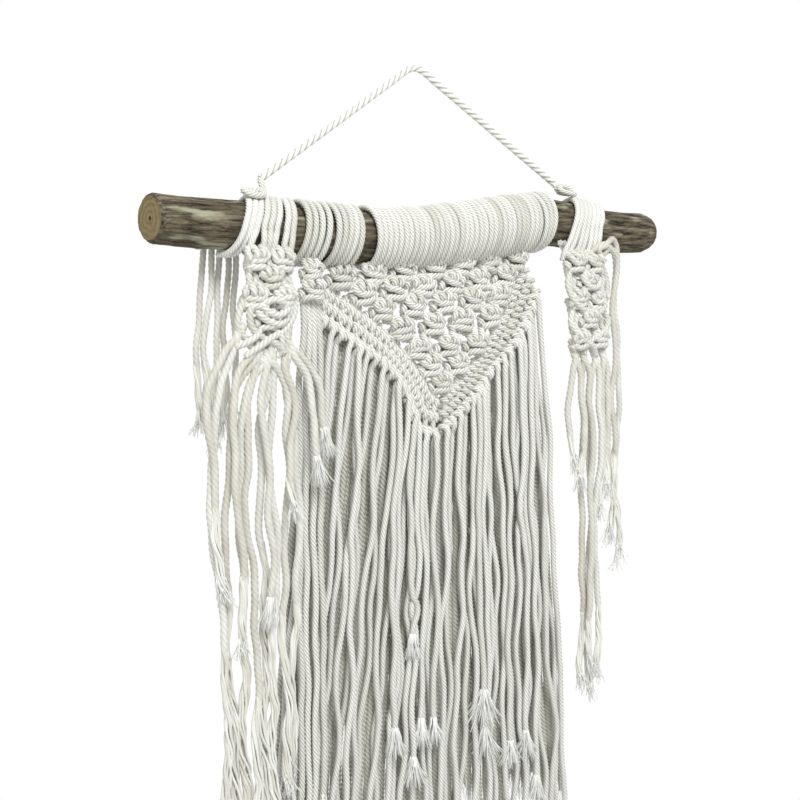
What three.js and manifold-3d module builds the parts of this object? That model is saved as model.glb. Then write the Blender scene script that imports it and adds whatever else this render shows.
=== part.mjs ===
// Macrame wall hanging on a crooked branch, hung by a free cord over a nail.
// Units are millimetres. The origin is where the hanger cord bears on the nail.
// +X runs along the branch to the right, -Y faces the room and +Z is up.
import * as THREE from 'three';
import { mergeVertices } from 'three/addons/utils/BufferGeometryUtils.js';
import Module from 'manifold-3d';

const wasm = await Module();
wasm.setup();

// ---------------------------------------------------------------- driving dimensions
const GAP = 0.35; // clearance between two pieces that touch
const CORD = 4.0; // cotton cord diameter
const HANGER_CORD = 4.6; // the hanger cord is a little thicker

const BRANCH_SIDES = 10;
const BRANCH_Y = -8; // axis of the branch in front of the nail
const BARK_RELIEF = 0.45; // how far the bark's long ridges stand up
const CUT_SLANT = 0.13; // the sawn left end is a little oblique

const HITCH_WIDTH = 10.4; // the hitches that tie the hanger cord down, across and up
const HITCH_HEIGHT = 12.4;

const NET_Y = -10; // middle plane of the knotted panel
const KNOT_WIDTH = 16.2;
const KNOT_HEIGHT = 10.8;
const KNOT_DEPTH = 8.6;
const ARM_ACROSS = 10.6; // how far a knot's four arms of cord reach
const ARM_UP = 7.2;
const BAR_DEPTH = 7.0; // a border bar, front to back
const BAR_RIDGES = 15; // half hitches along one bar

const FRINGE_PER_SIDE = 18;
const FRINGE_BEHIND = 5; // darker strands at the back, each side
const FRINGE_LAYERS = [-12.6, -7.2]; // alternate strands hang in two layers
const FRINGE_BEHIND_Y = -1.4;
const FRINGE_END = -500; // mean height of the fringe's ends
const FRINGE_END_SLOPE = -0.15; // the ends run lower to the right
const FRINGE_UNEVEN = 18;
const FRINGE_BEHIND_RAISED = 20; // the strands at the back are cut this much shorter
const FRINGE_LEFT = { x: -77, z: -150, spread: 0.113 }; // a point on its edge, and the edge's slope
const FRINGE_RIGHT = { x: 104, z: -140, spread: -0.076 };
const STRAND_RADIUS = 2.05; // to the corners of a four-sided strand
const TASSEL_STRAND_RADIUS = 2.3; // to the corners of a three-sided one

const TASSEL_Y = -24.5; // tassels hang from the front of the branch
const SENNIT_Y = -17.6;
const BACK_Y = 7.4; // loose strands behind the branch
const BACK_TOP = -107.5;
const TAIL_Y = -25; // tied cord beside the right tassel
const TAIL_KNOT = { x: 144.5, y: -26.5, z: -101, size: 0.8 };

// Turns rows of numbers into records with named columns.
function table(columns, rows) {
  return rows.map((row) => Object.fromEntries(columns.map((name, i) => [name, row[i]])));
}

// Centre height and radius of the branch along its length.
const BRANCH = table(['x', 'z', 'radius'], [
  [-180, -93.8, 13.7],
  [-153, -96.0, 13.9],
  [-129, -96.8, 14.2],
  [-99, -99.4, 15.2],
  [-65, -101.0, 15.2],
  [-35, -101.9, 15.0],
  [-2, -101.0, 15.2],
  [22, -98.1, 15.6],
  [62, -92.8, 16.0],
  [93, -88.8, 15.6],
  [108, -89.2, 15.6],
  [160, -94.2, 14.4],
  [190, -94.1, 13.8],
  [197, -93.9, 11.8],
  [200, -93.8, 7.6],
]);

// Groups of cords hitched round the branch, from left to right.
const WRAPS = table(['name', 'from', 'to', 'cords'], [
  ['wraps_left_a', -134.3, -121.2, 3],
  ['wraps_left_b', -120.6, -109.5, 3],
  ['wraps_left_c', -105.7, -98.2, 2],
  ['wraps_sennit', -94.7, -76.8, 4],
  ['wraps_net_a', -74.0, -54.6, 5],
  ['wraps_net_b', -45.6, 83.2, 34],
  ['wraps_net_c', 84.2, 96.0, 3],
  ['wraps_right', 111.2, 140.6, 8],
]);

// Rows of square knots in the panel: first knot, spacing and rise along the row.
const NET_ROWS = table(['knots', 'x', 'z', 'pitch', 'rise'], [
  [7, -63.7, -126.2, 22.5, 1.85],
  [6, -47.0, -135.6, 21.8, 1.95],
  [5, -33.3, -145.6, 22.8, 1.8],
  [4, -18.9, -157.4, 23.1, 2.0],
  [3, -6.3, -169.8, 22.4, 0.8],
  [2, 2.7, -180.6, 20.9, 0.0],
  [1, 10.6, -191.8, 0.0, 0.0],
]);

// Inner and outer edge of each border, from the top corner down to the point.
const BORDER_LEFT = table(['xIn', 'zIn', 'xOut', 'zOut'], [
  [-72.0, -131.0, -78.6, -150.0],
  [-53.0, -141.5, -61.0, -161.5],
  [-38.6, -151.5, -45.7, -170.6],
  [-24.2, -163.3, -32.0, -179.5],
  [-11.6, -176.0, -21.0, -190.0],
  [-1.5, -188.0, -13.5, -206.0],
  [6.5, -196.0, -8.5, -222.0],
  [11.4, -200.0, 10.6, -227.0],
]);
const BORDER_RIGHT = table(['xIn', 'zIn', 'xOut', 'zOut'], [
  [79.6, -116.0, 94.5, -136.0],
  [70.5, -130.0, 87.5, -152.0],
  [65.5, -143.0, 78.5, -165.0],
  [57.5, -156.0, 70.0, -175.0],
  [46.0, -172.0, 57.0, -183.5],
  [30.0, -186.5, 41.0, -201.5],
  [12.4, -200.0, 13.2, -226.0],
]);

// ---------------------------------------------------------------- materials
const cotton = { color: 0xdcded6, roughness: 0.95, metalness: 0 };
const bark = { color: 0x6e6250, roughness: 0.9, metalness: 0 };

const hanging = new THREE.Group();

function addPiece(name, geometry, finish) {
  const mesh = new THREE.Mesh(geometry, new THREE.MeshStandardMaterial(finish));
  mesh.name = name;
  hanging.add(mesh);
}

// ---------------------------------------------------------------- small helpers
const lerp = THREE.MathUtils.lerp;
const vec = (x, y, z) => new THREE.Vector3(x, y, z);

// A repeatable number between -1 and 1 for piece number n.
function uneven(n) {
  return Math.sin(n * 12.9898 + 4.1) * Math.cos(n * 7.233 + 1.7);
}

function geometryFrom(points, faces) {
  const numbers = points.flatMap(({ x, y, z }) => [x, y, z]);
  const geometry = new THREE.BufferGeometry();
  geometry.setAttribute('position', new THREE.Float32BufferAttribute(numbers, 3));
  geometry.setIndex(faces);
  return geometry;
}

// Signed volume of a closed indexed mesh: negative when its faces point inwards.
function signedVolume(points, faces) {
  let volume = 0;
  for (let i = 0; i < faces.length; i += 3) {
    const [a, b, c] = [points[faces[i]], points[faces[i + 1]], points[faces[i + 2]]];
    volume += a.dot(b.clone().cross(c)) / 6;
  }
  return volume;
}

// Skins a row of equal rings. Open rows get a cap at both ends, closed ones join up.
function loft(rings, closed = false) {
  const sides = rings[0].length;
  const points = rings.flat();
  const faces = [];
  const bands = closed ? rings.length : rings.length - 1;
  for (let i = 0; i < bands; i += 1) {
    const here = i * sides;
    const next = ((i + 1) % rings.length) * sides;
    for (let j = 0; j < sides; j += 1) {
      const k = (j + 1) % sides;
      faces.push(here + j, next + j, next + k, here + j, next + k, here + k);
    }
  }
  if (!closed) {
    for (const [start, first] of [[0, true], [(rings.length - 1) * sides, false]]) {
      for (let j = 1; j < sides - 1; j += 1) {
        faces.push(start, ...(first ? [start + j, start + j + 1] : [start + j + 1, start + j]));
      }
    }
  }
  if (signedVolume(points, faces) < 0) {
    for (let i = 0; i < faces.length; i += 3) {
      [faces[i + 1], faces[i + 2]] = [faces[i + 2], faces[i + 1]];
    }
  }
  return geometryFrom(points, faces);
}

function toManifold(geometry) {
  const bare = geometry.clone();
  bare.deleteAttribute('normal');
  bare.deleteAttribute('uv');
  const merged = mergeVertices(bare, 1e-5);
  return new wasm.Manifold(new wasm.Mesh({
    numProp: 3,
    vertProperties: new Float32Array(merged.attributes.position.array),
    triVerts: new Uint32Array(merged.index.array),
  }));
}

function fromManifold(solid) {
  const mesh = solid.getMesh();
  const geometry = new THREE.BufferGeometry();
  geometry.setAttribute('position', new THREE.BufferAttribute(mesh.vertProperties, 3));
  geometry.setIndex(new THREE.BufferAttribute(mesh.triVerts, 1));
  return geometry;
}

// Joins overlapping pieces into one solid and cuts the clearances out of it.
function fuse(geometries, ...clearances) {
  let solid = toManifold(geometries[0]);
  for (const geometry of geometries.slice(1)) {
    solid = solid.add(toManifold(geometry));
  }
  for (const clearance of clearances) {
    solid = solid.subtract(toManifold(clearance));
  }
  return fromManifold(solid);
}

// A ring of corners in the plane square to the route, its first corner towards "face".
function section(centre, tangent, face, sides, width, depth) {
  const across = face.clone().cross(tangent).normalize();
  const out = tangent.clone().cross(across).normalize();
  return Array.from({ length: sides }, (_, j) => {
    const angle = (j / sides) * 2 * Math.PI;
    return centre.clone()
      .addScaledVector(out, Math.cos(angle) * depth)
      .addScaledVector(across, Math.sin(angle) * width);
  });
}

// ---------------------------------------------------------------- branch
function barkRadius(station, angle) {
  return BRANCH[station].radius + BARK_RELIEF * Math.sin(3 * angle + 0.6);
}

// A point on the branch's surface at x, lifted off the bark.
function branchPoint(x, angle, lift) {
  let i = 0;
  while (i < BRANCH.length - 2 && BRANCH[i + 1].x < x) {
    i += 1;
  }
  const t = (x - BRANCH[i].x) / (BRANCH[i + 1].x - BRANCH[i].x);
  const radius = lerp(barkRadius(i, angle), barkRadius(i + 1, angle), t) + lift;
  const z = lerp(BRANCH[i].z, BRANCH[i + 1].z, t);
  return vec(x, BRANCH_Y + radius * Math.cos(angle), z + radius * Math.sin(angle));
}

function branchRing(x, lift) {
  const turn = (2 * Math.PI) / BRANCH_SIDES;
  return Array.from({ length: BRANCH_SIDES }, (_, j) => branchPoint(x, j * turn, lift));
}

function makeBranch() {
  const rings = BRANCH.map(({ x }) => branchRing(x, 0));
  for (const point of rings[0]) {
    point.x -= CUT_SLANT * (point.y - BRANCH_Y);
  }
  return loft(rings);
}

// One group of cords round the branch: a sleeve with a ridge for each cord.
function makeWraps({ from, to, cords }) {
  const pitch = (to - from) / cords;
  const rings = [branchRing(from, GAP)];
  for (let k = 0; k < cords; k += 1) {
    rings.push(branchRing(from + pitch * k, GAP + CORD * (k === 0 ? 0.5 : 0.68)));
    rings.push(branchRing(from + pitch * (k + 0.5), GAP + CORD));
  }
  rings.push(branchRing(to, GAP + CORD * 0.5));
  rings.push(branchRing(to, GAP));
  const between = BRANCH.filter(({ x }) => x > from && x < to).reverse();
  rings.push(...between.map(({ x }) => branchRing(x, GAP)));
  return loft(rings, true);
}

// What hangs below or in front of the wraps is cut back to this tube.
const wrapClearance = loft(BRANCH.slice(1, -2).map(({ x }) => branchRing(x, CORD + 2 * GAP)));

// ---------------------------------------------------------------- panel of square knots
// A square knot: a plump body whose cords leave it as four arms towards its neighbours.
function squareKnot(centre, size = 1) {
  const layers = table(['y', 'body', 'arm'], [
    [-0.5, 0.5, 0.34],
    [-0.3, 0.96, 0.66],
    [0.04, 1, 1],
    [0.4, 0.8, 0.6],
  ]);
  const corners = 8;
  return loft(layers.map(({ y, body, arm }) => Array.from({ length: corners }, (_, j) => {
    const angle = (j / corners) * 2 * Math.PI;
    const [right, up] = [Math.cos(angle), Math.sin(angle)];
    const corner = j % 2 === 0
      ? vec((right * KNOT_WIDTH * body) / 2, 0, (up * KNOT_HEIGHT * body) / 2)
      : vec(Math.sign(right) * ARM_ACROSS * arm, 0, Math.sign(up) * ARM_UP * arm);
    return corner.add(vec(0, y * KNOT_DEPTH, 0)).multiplyScalar(size).add(centre);
  })));
}

// Inner and outer edge of a border as two smooth curves.
function borderCurves(border) {
  return {
    inner: new THREE.CatmullRomCurve3(border.map(({ xIn, zIn }) => vec(xIn, NET_Y, zIn))),
    outer: new THREE.CatmullRomCurve3(border.map(({ xOut, zOut }) => vec(xOut, NET_Y, zOut))),
  };
}

// The border's three bars of half hitches as one strip, with a groove between the bars.
function borderStrip(border, grow) {
  const outline = table(['across', 'deep'], [
    [0, 0],
    [1 / 6, -1],
    [1 / 3, -0.62],
    [1 / 2, -1],
    [2 / 3, -0.62],
    [5 / 6, -1],
    [1, 0],
    [5 / 6, 0.85],
    [1 / 6, 0.85],
  ]);
  const { inner, outer } = borderCurves(border);
  const steps = BAR_RIDGES * 2;
  const rings = [];
  for (let i = 0; i <= steps; i += 1) {
    const a = inner.getPoint(i / steps);
    const c = outer.getPoint(i / steps);
    const margin = c.clone().sub(a).setLength(grow);
    const depth = (BAR_DEPTH / 2) * (i % 2 === 1 ? 1 : 0.78) + grow;
    rings.push(outline.map(({ across, deep }) => a.clone().sub(margin)
      .lerp(c.clone().add(margin), across)
      .add(vec(0, depth * deep, 0))));
  }
  const ends = [rings[0], rings[steps]];
  ends.forEach((ring, n) => {
    const along = ring[3].clone().sub(rings[n === 0 ? 1 : steps - 1][3]).setLength(grow);
    ring.forEach((point) => point.add(along));
  });
  return loft(rings);
}

// A place on the border's outermost bar, where a strand starts.
function barPoint(border, t) {
  const { inner, outer } = borderCurves(border);
  return inner.getPoint(t).lerp(outer.getPoint(t), 5 / 6);
}

function makeNet() {
  const pieces = [];
  NET_ROWS.forEach(({ knots, x, z, pitch, rise }) => {
    for (let i = 0; i < knots; i += 1) {
      const centre = vec(x + pitch * i, NET_Y, z + rise * i);
      pieces.push(squareKnot(centre));
    }
  });
  return fuse(pieces, wrapClearance, borderStrip(BORDER_LEFT, GAP), borderStrip(BORDER_RIGHT, GAP));
}

// ---------------------------------------------------------------- strands
// A hanging strand through a few points, with a slight wave of its own.
function strand(points, { seed, wave = 1.2, steps = 6, sides = 4, radius = STRAND_RADIUS }) {
  const route = new THREE.CatmullRomCurve3(points);
  const rings = [];
  for (let i = 0; i <= steps; i += 1) {
    const t = i / steps;
    const centre = route.getPointAt(t);
    const sway = wave * Math.sin(Math.PI * t) * Math.sin(2.6 * Math.PI * t + 3 * uneven(seed));
    centre.x += sway;
    const taper = i === steps ? 0.75 : 1;
    rings.push(section(centre, route.getTangentAt(t), vec(0, -1, 0), sides, radius * taper, radius * taper));
  }
  return loft(rings);
}

// A place across the fringe at a height: 0 on its left edge and 1 on its right edge.
function fringeX(z, share) {
  const [left, right] = [FRINGE_LEFT, FRINGE_RIGHT].map((edge) => edge.x + edge.spread * (z - edge.z));
  return lerp(left, right, share);
}

// The strands of one half of the fringe, knotted to its border. "side" is -1 or 1.
function makeFringe(border, side) {
  const pieces = [borderStrip(border, 0)];
  const total = 2 * FRINGE_PER_SIDE;
  for (let i = 0; i < FRINGE_PER_SIDE; i += 1) {
    const top = barPoint(border, (i + 0.5) / FRINGE_PER_SIDE);
    const order = side < 0 ? i : total - 1 - i;
    const y = FRINGE_LAYERS[i % 2];
    const end = FRINGE_END + FRINGE_END_SLOPE * top.x + FRINGE_UNEVEN * uneven(order);
    const endX = fringeX(end, (order + 0.5) / total);
    pieces.push(strand([
      top,
      vec(lerp(top.x, endX, 0.04), y, top.z - 2 * CORD),
      vec(lerp(top.x, endX, 0.45), y, lerp(top.z, end, 0.45)),
      vec(endX, y, end),
    ], { seed: order }));
  }
  for (let i = 0; i < FRINGE_BEHIND; i += 1) {
    const top = barPoint(border, (i + 1) / (FRINGE_BEHIND + 1));
    const end = FRINGE_END + FRINGE_BEHIND_RAISED + FRINGE_UNEVEN * uneven(40 + i + side);
    const share = (i + 0.7) / (2 * FRINGE_BEHIND + 1);
    const endX = fringeX(end, side < 0 ? share : 1 - share);
    pieces.push(strand([
      top.clone().add(vec(0, 1.2, 0)),
      vec(top.x, FRINGE_BEHIND_Y, top.z - 3 * CORD),
      vec(lerp(top.x, endX, 0.5), FRINGE_BEHIND_Y, lerp(top.z, end, 0.5)),
      vec(endX, FRINGE_BEHIND_Y, end),
    ], { seed: 60 + i, wave: 0.8, sides: 3 }));
  }
  return fuse(pieces, wrapClearance);
}

// ---------------------------------------------------------------- tassels
const HEAD_NARROW = 0.62; // width of a head's end beside its middle
const HEAD_HOLLOW = 0.2; // how far the hollows between its knots lie in

// A knotted head: an oval column whose corners stand out by turns, row by row, as knots do.
function knottedHead({ top, bottom, topX, bottomX, y, width, depth, rows, sides = 10 }) {
  const rings = [];
  const steps = rows * 2;
  for (let i = 0; i <= steps; i += 1) {
    const t = i / steps;
    const centre = vec(lerp(topX, bottomX, t), y, lerp(top, bottom, t));
    const swell = lerp(HEAD_NARROW, 1, Math.sin(Math.PI * lerp(0.15, 0.75, t)));
    const ring = section(centre, vec(0, 0, -1), vec(0, -1, 0), sides, (width / 2) * swell, depth / 2);
    ring.forEach((point, j) => {
      const raised = (j + Math.floor(i / 2)) % 2 === 0 && i % 2 === 1;
      point.lerp(centre, raised ? 0 : HEAD_HOLLOW);
    });
    rings.push(ring);
  }
  return loft(rings);
}

// Strands of a tassel: where each leaves the head, where it turns down and where it ends.
function tasselStrands(rows, y, start) {
  return table(['rootX', 'rootZ', 'bendX', 'bendZ', 'endX', 'endZ', 'out'], rows).map((row, i) => strand([
    vec(row.rootX, y, row.rootZ),
    vec(row.bendX, y + row.out, row.bendZ),
    vec(lerp(row.bendX, row.endX, 0.5), y + row.out, lerp(row.bendZ, row.endZ, 0.5)),
    vec(row.endX, y + row.out, row.endZ),
  ], { seed: start + i, wave: 0.8, sides: 3, radius: TASSEL_STRAND_RADIUS }));
}

const LEFT_TASSEL = [
  [-133, -178, -150, -206, -154, -262, 0],
  [-131, -180, -143, -212, -147, -452, 3],
  [-128, -180, -138, -214, -141, -262, -4],
  [-125, -180, -133, -216, -136, -462, 1],
  [-122, -180, -128, -216, -130, -306, -4],
  [-118, -180, -123, -216, -124, -468, 3],
  [-115, -180, -118, -216, -119, -270, -4],
  [-112, -180, -113, -216, -113, -458, 1],
  [-108, -180, -107, -215, -106, -256, -4],
  [-105, -180, -100, -213, -101, -440, 1],
  [-103, -178, -92, -211, -88, -230, -3],
  [-101, -175, -85, -206, -79, -224, -5],
];
const RIGHT_TASSEL = [
  [114, -182, 112, -200, 111, -250, 0],
  [119, -184, 118, -202, 119, -262, -4],
  [123, -184, 124, -204, 126, -410, 2],
  [127, -184, 128.5, -204, 131, -398, -3],
  [131, -184, 133, -204, 136, -416, 3],
  [135, -184, 138, -204, 141, -404, -2],
  [139, -184, 143, -202, 146, -270, 1],
];
const SENNIT_STRANDS = [
  [-90, -148, -93, -166, -96, -444, 0],
  [-86, -148, -87, -166, -88, -452, 0],
  [-82, -148, -80, -166, -80, -436, 0],
];

const BACK_STRANDS = [
  [-141, BACK_TOP, -144, -150, -149, -214, 1],
  [-136, BACK_TOP, -138, -150, -142, -206, 1],
  [-131, BACK_TOP, -132, -150, -136, -226, 1],
  [-126, BACK_TOP, -127, -150, -129, -218, 1],
  [-121, BACK_TOP, -121, -150, -122, -204, 1],
];
const TAIL_STRANDS = [
  [146.5, -103, 152, -132, 153, -318, 3],
  [151, -104, 158, -132, 160, -324, 3],
];

function makeTassel(head, rows, start) {
  const pieces = [knottedHead(head), ...tasselStrands(rows, head.y, start)];
  return fuse(pieces, wrapClearance);
}

// Loose strands behind the branch, joined by the cord that lies across them on the wraps.
function makeBackStrands() {
  const across = strand([
    vec(-144, BACK_Y, BACK_TOP),
    vec(-130, BACK_Y, BACK_TOP - 0.5),
    vec(-114, BACK_Y, BACK_TOP),
  ], { seed: 90, steps: 2 });
  return fuse([across, ...tasselStrands(BACK_STRANDS, BACK_Y, 90)], wrapClearance);
}

// The tied cord beside the right tassel: its knot lies on the wraps, its tails hang.
function makeTailStrands() {
  const { x, y, z, size } = TAIL_KNOT;
  const knot = squareKnot(vec(x, y, z), size);
  return fuse([knot, ...tasselStrands(TAIL_STRANDS, TAIL_Y, 100)], wrapClearance);
}

// ---------------------------------------------------------------- hanger
// The cord's middle line, from the left hitch over the nail to the right hitch.
const HANGER_ROUTE = table(['x', 'y', 'z'], [
  [-112.5, -6.6, -70.2],
  [-104, -6.1, -64.5],
  [-92, -5.4, -56.5],
  [-78, -4.6, -47.2],
  [-64, -3.8, -37.9],
  [-50, -2.9, -28.6],
  [-36, -2.1, -19.3],
  [-24, -1.4, -11.3],
  [-14, -0.8, -4.6],
  [-6.7, -0.4, 0.3],
  [-3.5, -0.2, 1.8],
  [0, -0.1, 2.3],
  [3.3, -0.2, 1.8],
  [6.2, -0.3, 0.6],
  [14, -0.6, -4.1],
  [24, -1.0, -10.1],
  [36, -1.5, -17.3],
  [50, -2.1, -25.7],
  [64, -2.7, -34.2],
  [78, -3.3, -42.6],
  [92, -3.9, -51.0],
  [104, -4.4, -58.2],
  [112, -4.8, -63.0],
]);
const HANGER_STEPS = 62;
const HANGER_TWIST = 9.5; // mm along the cord for one turn of its strands
const HANGER_RELIEF = 0.3; // how far its strands stand up

const hangerPoints = HANGER_ROUTE.map(({ x, y, z }) => vec(x, y, z));

function roundTube(points, radius, sides, steps) {
  const outline = new THREE.Shape(Array.from({ length: sides }, (_, j) => {
    const angle = (j / sides) * 2 * Math.PI;
    return new THREE.Vector2(Math.cos(angle), Math.sin(angle)).multiplyScalar(radius);
  }));
  const extrudePath = new THREE.CatmullRomCurve3(points);
  const tube = new THREE.ExtrudeGeometry(outline, { steps, extrudePath, bevelEnabled: false });
  tube.deleteAttribute('normal');
  tube.deleteAttribute('uv');
  return mergeVertices(tube, 1e-4);
}

function nearest(spots, point) {
  const distances = spots.map((spot) => spot.distanceTo(point));
  return distances.indexOf(Math.min(...distances));
}

// The cord's strands are raised as two ridges that wind round the tube.
function makeHangerCord() {
  const cord = roundTube(hangerPoints, HANGER_CORD / 2 - HANGER_RELIEF, 8, HANGER_STEPS);
  const route = new THREE.CatmullRomCurve3(hangerPoints);
  const spots = route.getSpacedPoints(HANGER_STEPS);
  const position = cord.attributes.position;
  for (let n = 0; n < position.count; n += 1) {
    const point = vec(position.getX(n), position.getY(n), position.getZ(n));
    const near = nearest(spots, point);
    const out = point.clone().sub(spots[near]);
    const turn = Math.atan2(out.y, out.z);
    const along = (near / HANGER_STEPS) * route.getLength();
    const raise = HANGER_RELIEF * Math.sin(2 * turn + (2 * Math.PI * along) / HANGER_TWIST);
    point.addScaledVector(out.normalize(), raise);
    position.setXYZ(n, point.x, point.y, point.z);
  }
  return cord;
}

// Room for one end of the cord inside its hitch.
function cordSocket(ends) {
  const [end, next, far] = ends;
  const past = end.clone().sub(next).setLength(GAP).add(end);
  return roundTube([past, next, far], HANGER_CORD / 2 + GAP, 8, 6);
}

// A hitch that ties the cord down: a fat ridged loop on the wraps, with the cord's end inside.
function makeHitch(centre, ends) {
  const along = vec(1, 0, 0);
  const profile = table(['at', 'size'], [
    [-7, 0.5],
    [-4.6, 0.9],
    [-2.2, 0.8],
    [0, 1],
    [2.4, 0.84],
    [4.8, 0.9],
    [7, 0.5],
  ]);
  const loop = loft(profile.map(({ at, size }) => section(
    centre.clone().addScaledVector(along, at),
    along,
    vec(0, -1, 0),
    8,
    (HITCH_WIDTH / 2) * size,
    (HITCH_HEIGHT / 2) * size,
  )));
  return fuse([loop], wrapClearance, cordSocket(ends));
}

// ---------------------------------------------------------------- the whole hanging
addPiece('branch', makeBranch(), bark);
for (const group of WRAPS) {
  addPiece(group.name, makeWraps(group), cotton);
}
addPiece('net_panel', makeNet(), cotton);
addPiece('fringe_left', makeFringe(BORDER_LEFT, -1), cotton);
addPiece('fringe_right', makeFringe(BORDER_RIGHT, 1), cotton);
addPiece('tassel_left', makeTassel({
  top: -104, bottom: -184, topX: -116, bottomX: -118, y: TASSEL_Y, width: 42, depth: 15, rows: 8,
}, LEFT_TASSEL, 70), cotton);
addPiece('tassel_right', makeTassel({
  top: -103, bottom: -188, topX: 121, bottomX: 129, y: TASSEL_Y, width: 39, depth: 15, rows: 8,
}, RIGHT_TASSEL, 80), cotton);
addPiece('side_sennit', makeTassel({
  top: -112, bottom: -154, topX: -85.6, bottomX: -85.6, y: SENNIT_Y, width: 14, depth: 9, rows: 4, sides: 8,
}, SENNIT_STRANDS, 86), cotton);
addPiece('back_strands', makeBackStrands(), cotton);
addPiece('tail_strands', makeTailStrands(), cotton);
addPiece('hitch_left', makeHitch(vec(-117.5, -8, -75), hangerPoints.slice(0, 3)), cotton);
addPiece('hitch_right', makeHitch(vec(118, -6, -67.5), hangerPoints.slice(-3).reverse()), cotton);
addPiece('hanger_cord', makeHangerCord(), cotton);

export default hanging;
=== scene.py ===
# %% [markdown]
# # A macrame wall hanging on a crooked branch
# The real thing is made of one material twice over: a dry branch with its bark on, and about fifty metres
# of undyed cotton string, 4 mm thick. Everything else is knots. So this lesson builds one good cord
# first, and then only decides where each cord goes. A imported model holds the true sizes, and every piece
# here stands for a part of it. Lengths in this file are millimetres, and MM turns them into Blender's
# metres.

# %% Load the fixed frame
import math

import bpy
import numpy as np
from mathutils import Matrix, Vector, noise


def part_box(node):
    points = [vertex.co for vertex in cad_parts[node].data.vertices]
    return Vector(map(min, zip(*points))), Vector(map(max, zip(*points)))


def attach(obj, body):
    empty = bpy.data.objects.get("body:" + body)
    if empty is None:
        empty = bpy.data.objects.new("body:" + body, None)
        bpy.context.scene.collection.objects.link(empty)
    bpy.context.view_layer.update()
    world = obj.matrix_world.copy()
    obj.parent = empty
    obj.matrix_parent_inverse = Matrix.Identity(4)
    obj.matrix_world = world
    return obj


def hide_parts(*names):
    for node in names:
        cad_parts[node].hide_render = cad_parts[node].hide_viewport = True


MM = 0.001
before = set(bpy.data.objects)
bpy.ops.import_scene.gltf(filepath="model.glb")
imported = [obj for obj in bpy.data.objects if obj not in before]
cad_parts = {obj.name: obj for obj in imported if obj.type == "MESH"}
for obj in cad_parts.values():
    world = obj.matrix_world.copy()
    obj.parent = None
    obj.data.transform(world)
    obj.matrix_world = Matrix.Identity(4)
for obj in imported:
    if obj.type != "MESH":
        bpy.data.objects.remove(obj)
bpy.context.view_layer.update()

# %% [markdown]
# ## Camera
# The hanging is seen from its left and a little above its middle, so the sawn end of the branch shows. A
# slightly long lens on a square frame keeps the perspective of someone standing close to the wall.

# %% Camera
CAMERA_AT = (-446.05, -605.0, -124.32)
CAMERA_TURN = math.radians(35.7)
CAMERA_DOWN = math.radians(5.895)

lens = bpy.data.cameras.new("camera")
lens.lens = 54
lens.sensor_width = 36
lens.clip_start = 0.01
camera = bpy.data.objects.new("camera", lens)
camera.location = Vector(CAMERA_AT) * MM
camera.rotation_euler = (math.pi / 2 - CAMERA_DOWN, 0, -CAMERA_TURN)
bpy.context.scene.collection.objects.link(camera)
bpy.context.scene.camera = camera
print("camera is", round(camera.location.length, 2), "m from the nail")

# %% [markdown]
# ## One cord
# A cord of cotton string is many thin yarns laid side by side and twisted once. Seen from outside it is a
# round bar with slanting ridges. A curve with a round bevel would lose the ridges, and a fine grid with
# the ridges raised in it would cost a hundred faces a millimetre. So each ring of the tube is a star with
# one peak for each yarn, and each ring is turned a little further than the last: the edges of the mesh
# then run along the ridges. The edges in the hollows are kept sharp, so that smooth shading rounds each
# yarn and not the whole cord. Cords that are soft from handling have no sharp edges. The twist is to the
# left (an S twist), so ridges slope down to the right on a cord that hangs.

# %% A smooth line through a few points
def smooth_line(points, spacing):
    """Evenly spaced points on a smooth line through the given ones."""
    points = np.array(points, float)
    at = np.concatenate([[0], np.cumsum(np.linalg.norm(np.diff(points, axis=0), axis=1))])
    slope = np.gradient(points, at, axis=0)
    fine = np.linspace(0, at[-1], 4 * int(at[-1] / spacing + 2))
    i = np.clip(np.searchsorted(at, fine, side="right") - 1, 0, len(at) - 2)
    span = (at[i + 1] - at[i])[:, None]
    t = (fine - at[i])[:, None] / span
    line = ((1 + 2 * t) * (1 - t) ** 2 * points[i] + t * (1 - t) ** 2 * span * slope[i]
            + t * t * (3 - 2 * t) * points[i + 1] + t * t * (t - 1) * span * slope[i + 1])
    return even_steps(line, spacing)


def even_steps(line, spacing):
    """The same line with its points a fixed distance apart."""
    run = np.concatenate([[0], np.cumsum(np.linalg.norm(np.diff(line, axis=0), axis=1))])
    want = np.linspace(0, run[-1], max(3, round(run[-1] / spacing) + 1))
    return np.stack([np.interp(want, run, line[:, k]) for k in range(3)], axis=1)


arch = smooth_line([(0, 0, 0), (50, 0, 20), (100, 0, 0)], 1.0)
print("an arch through three points now has", len(arch), "points")

# %% A cord's mesh
def directions(line):
    """Two directions square to the line at each point, which turn no more than the line does."""
    along = np.gradient(line, axis=0)
    along /= np.linalg.norm(along, axis=1, keepdims=True)
    side = np.empty_like(line)
    start = np.cross(along[0], (0.0, 1.0, 0.0) if abs(along[0][1]) < 0.9 else (1.0, 0.0, 0.0))
    for i, tangent in enumerate(along):
        start = start - tangent * (start @ tangent)
        start /= np.linalg.norm(start)
        side[i] = start
    return side, np.cross(along, side)


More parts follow.
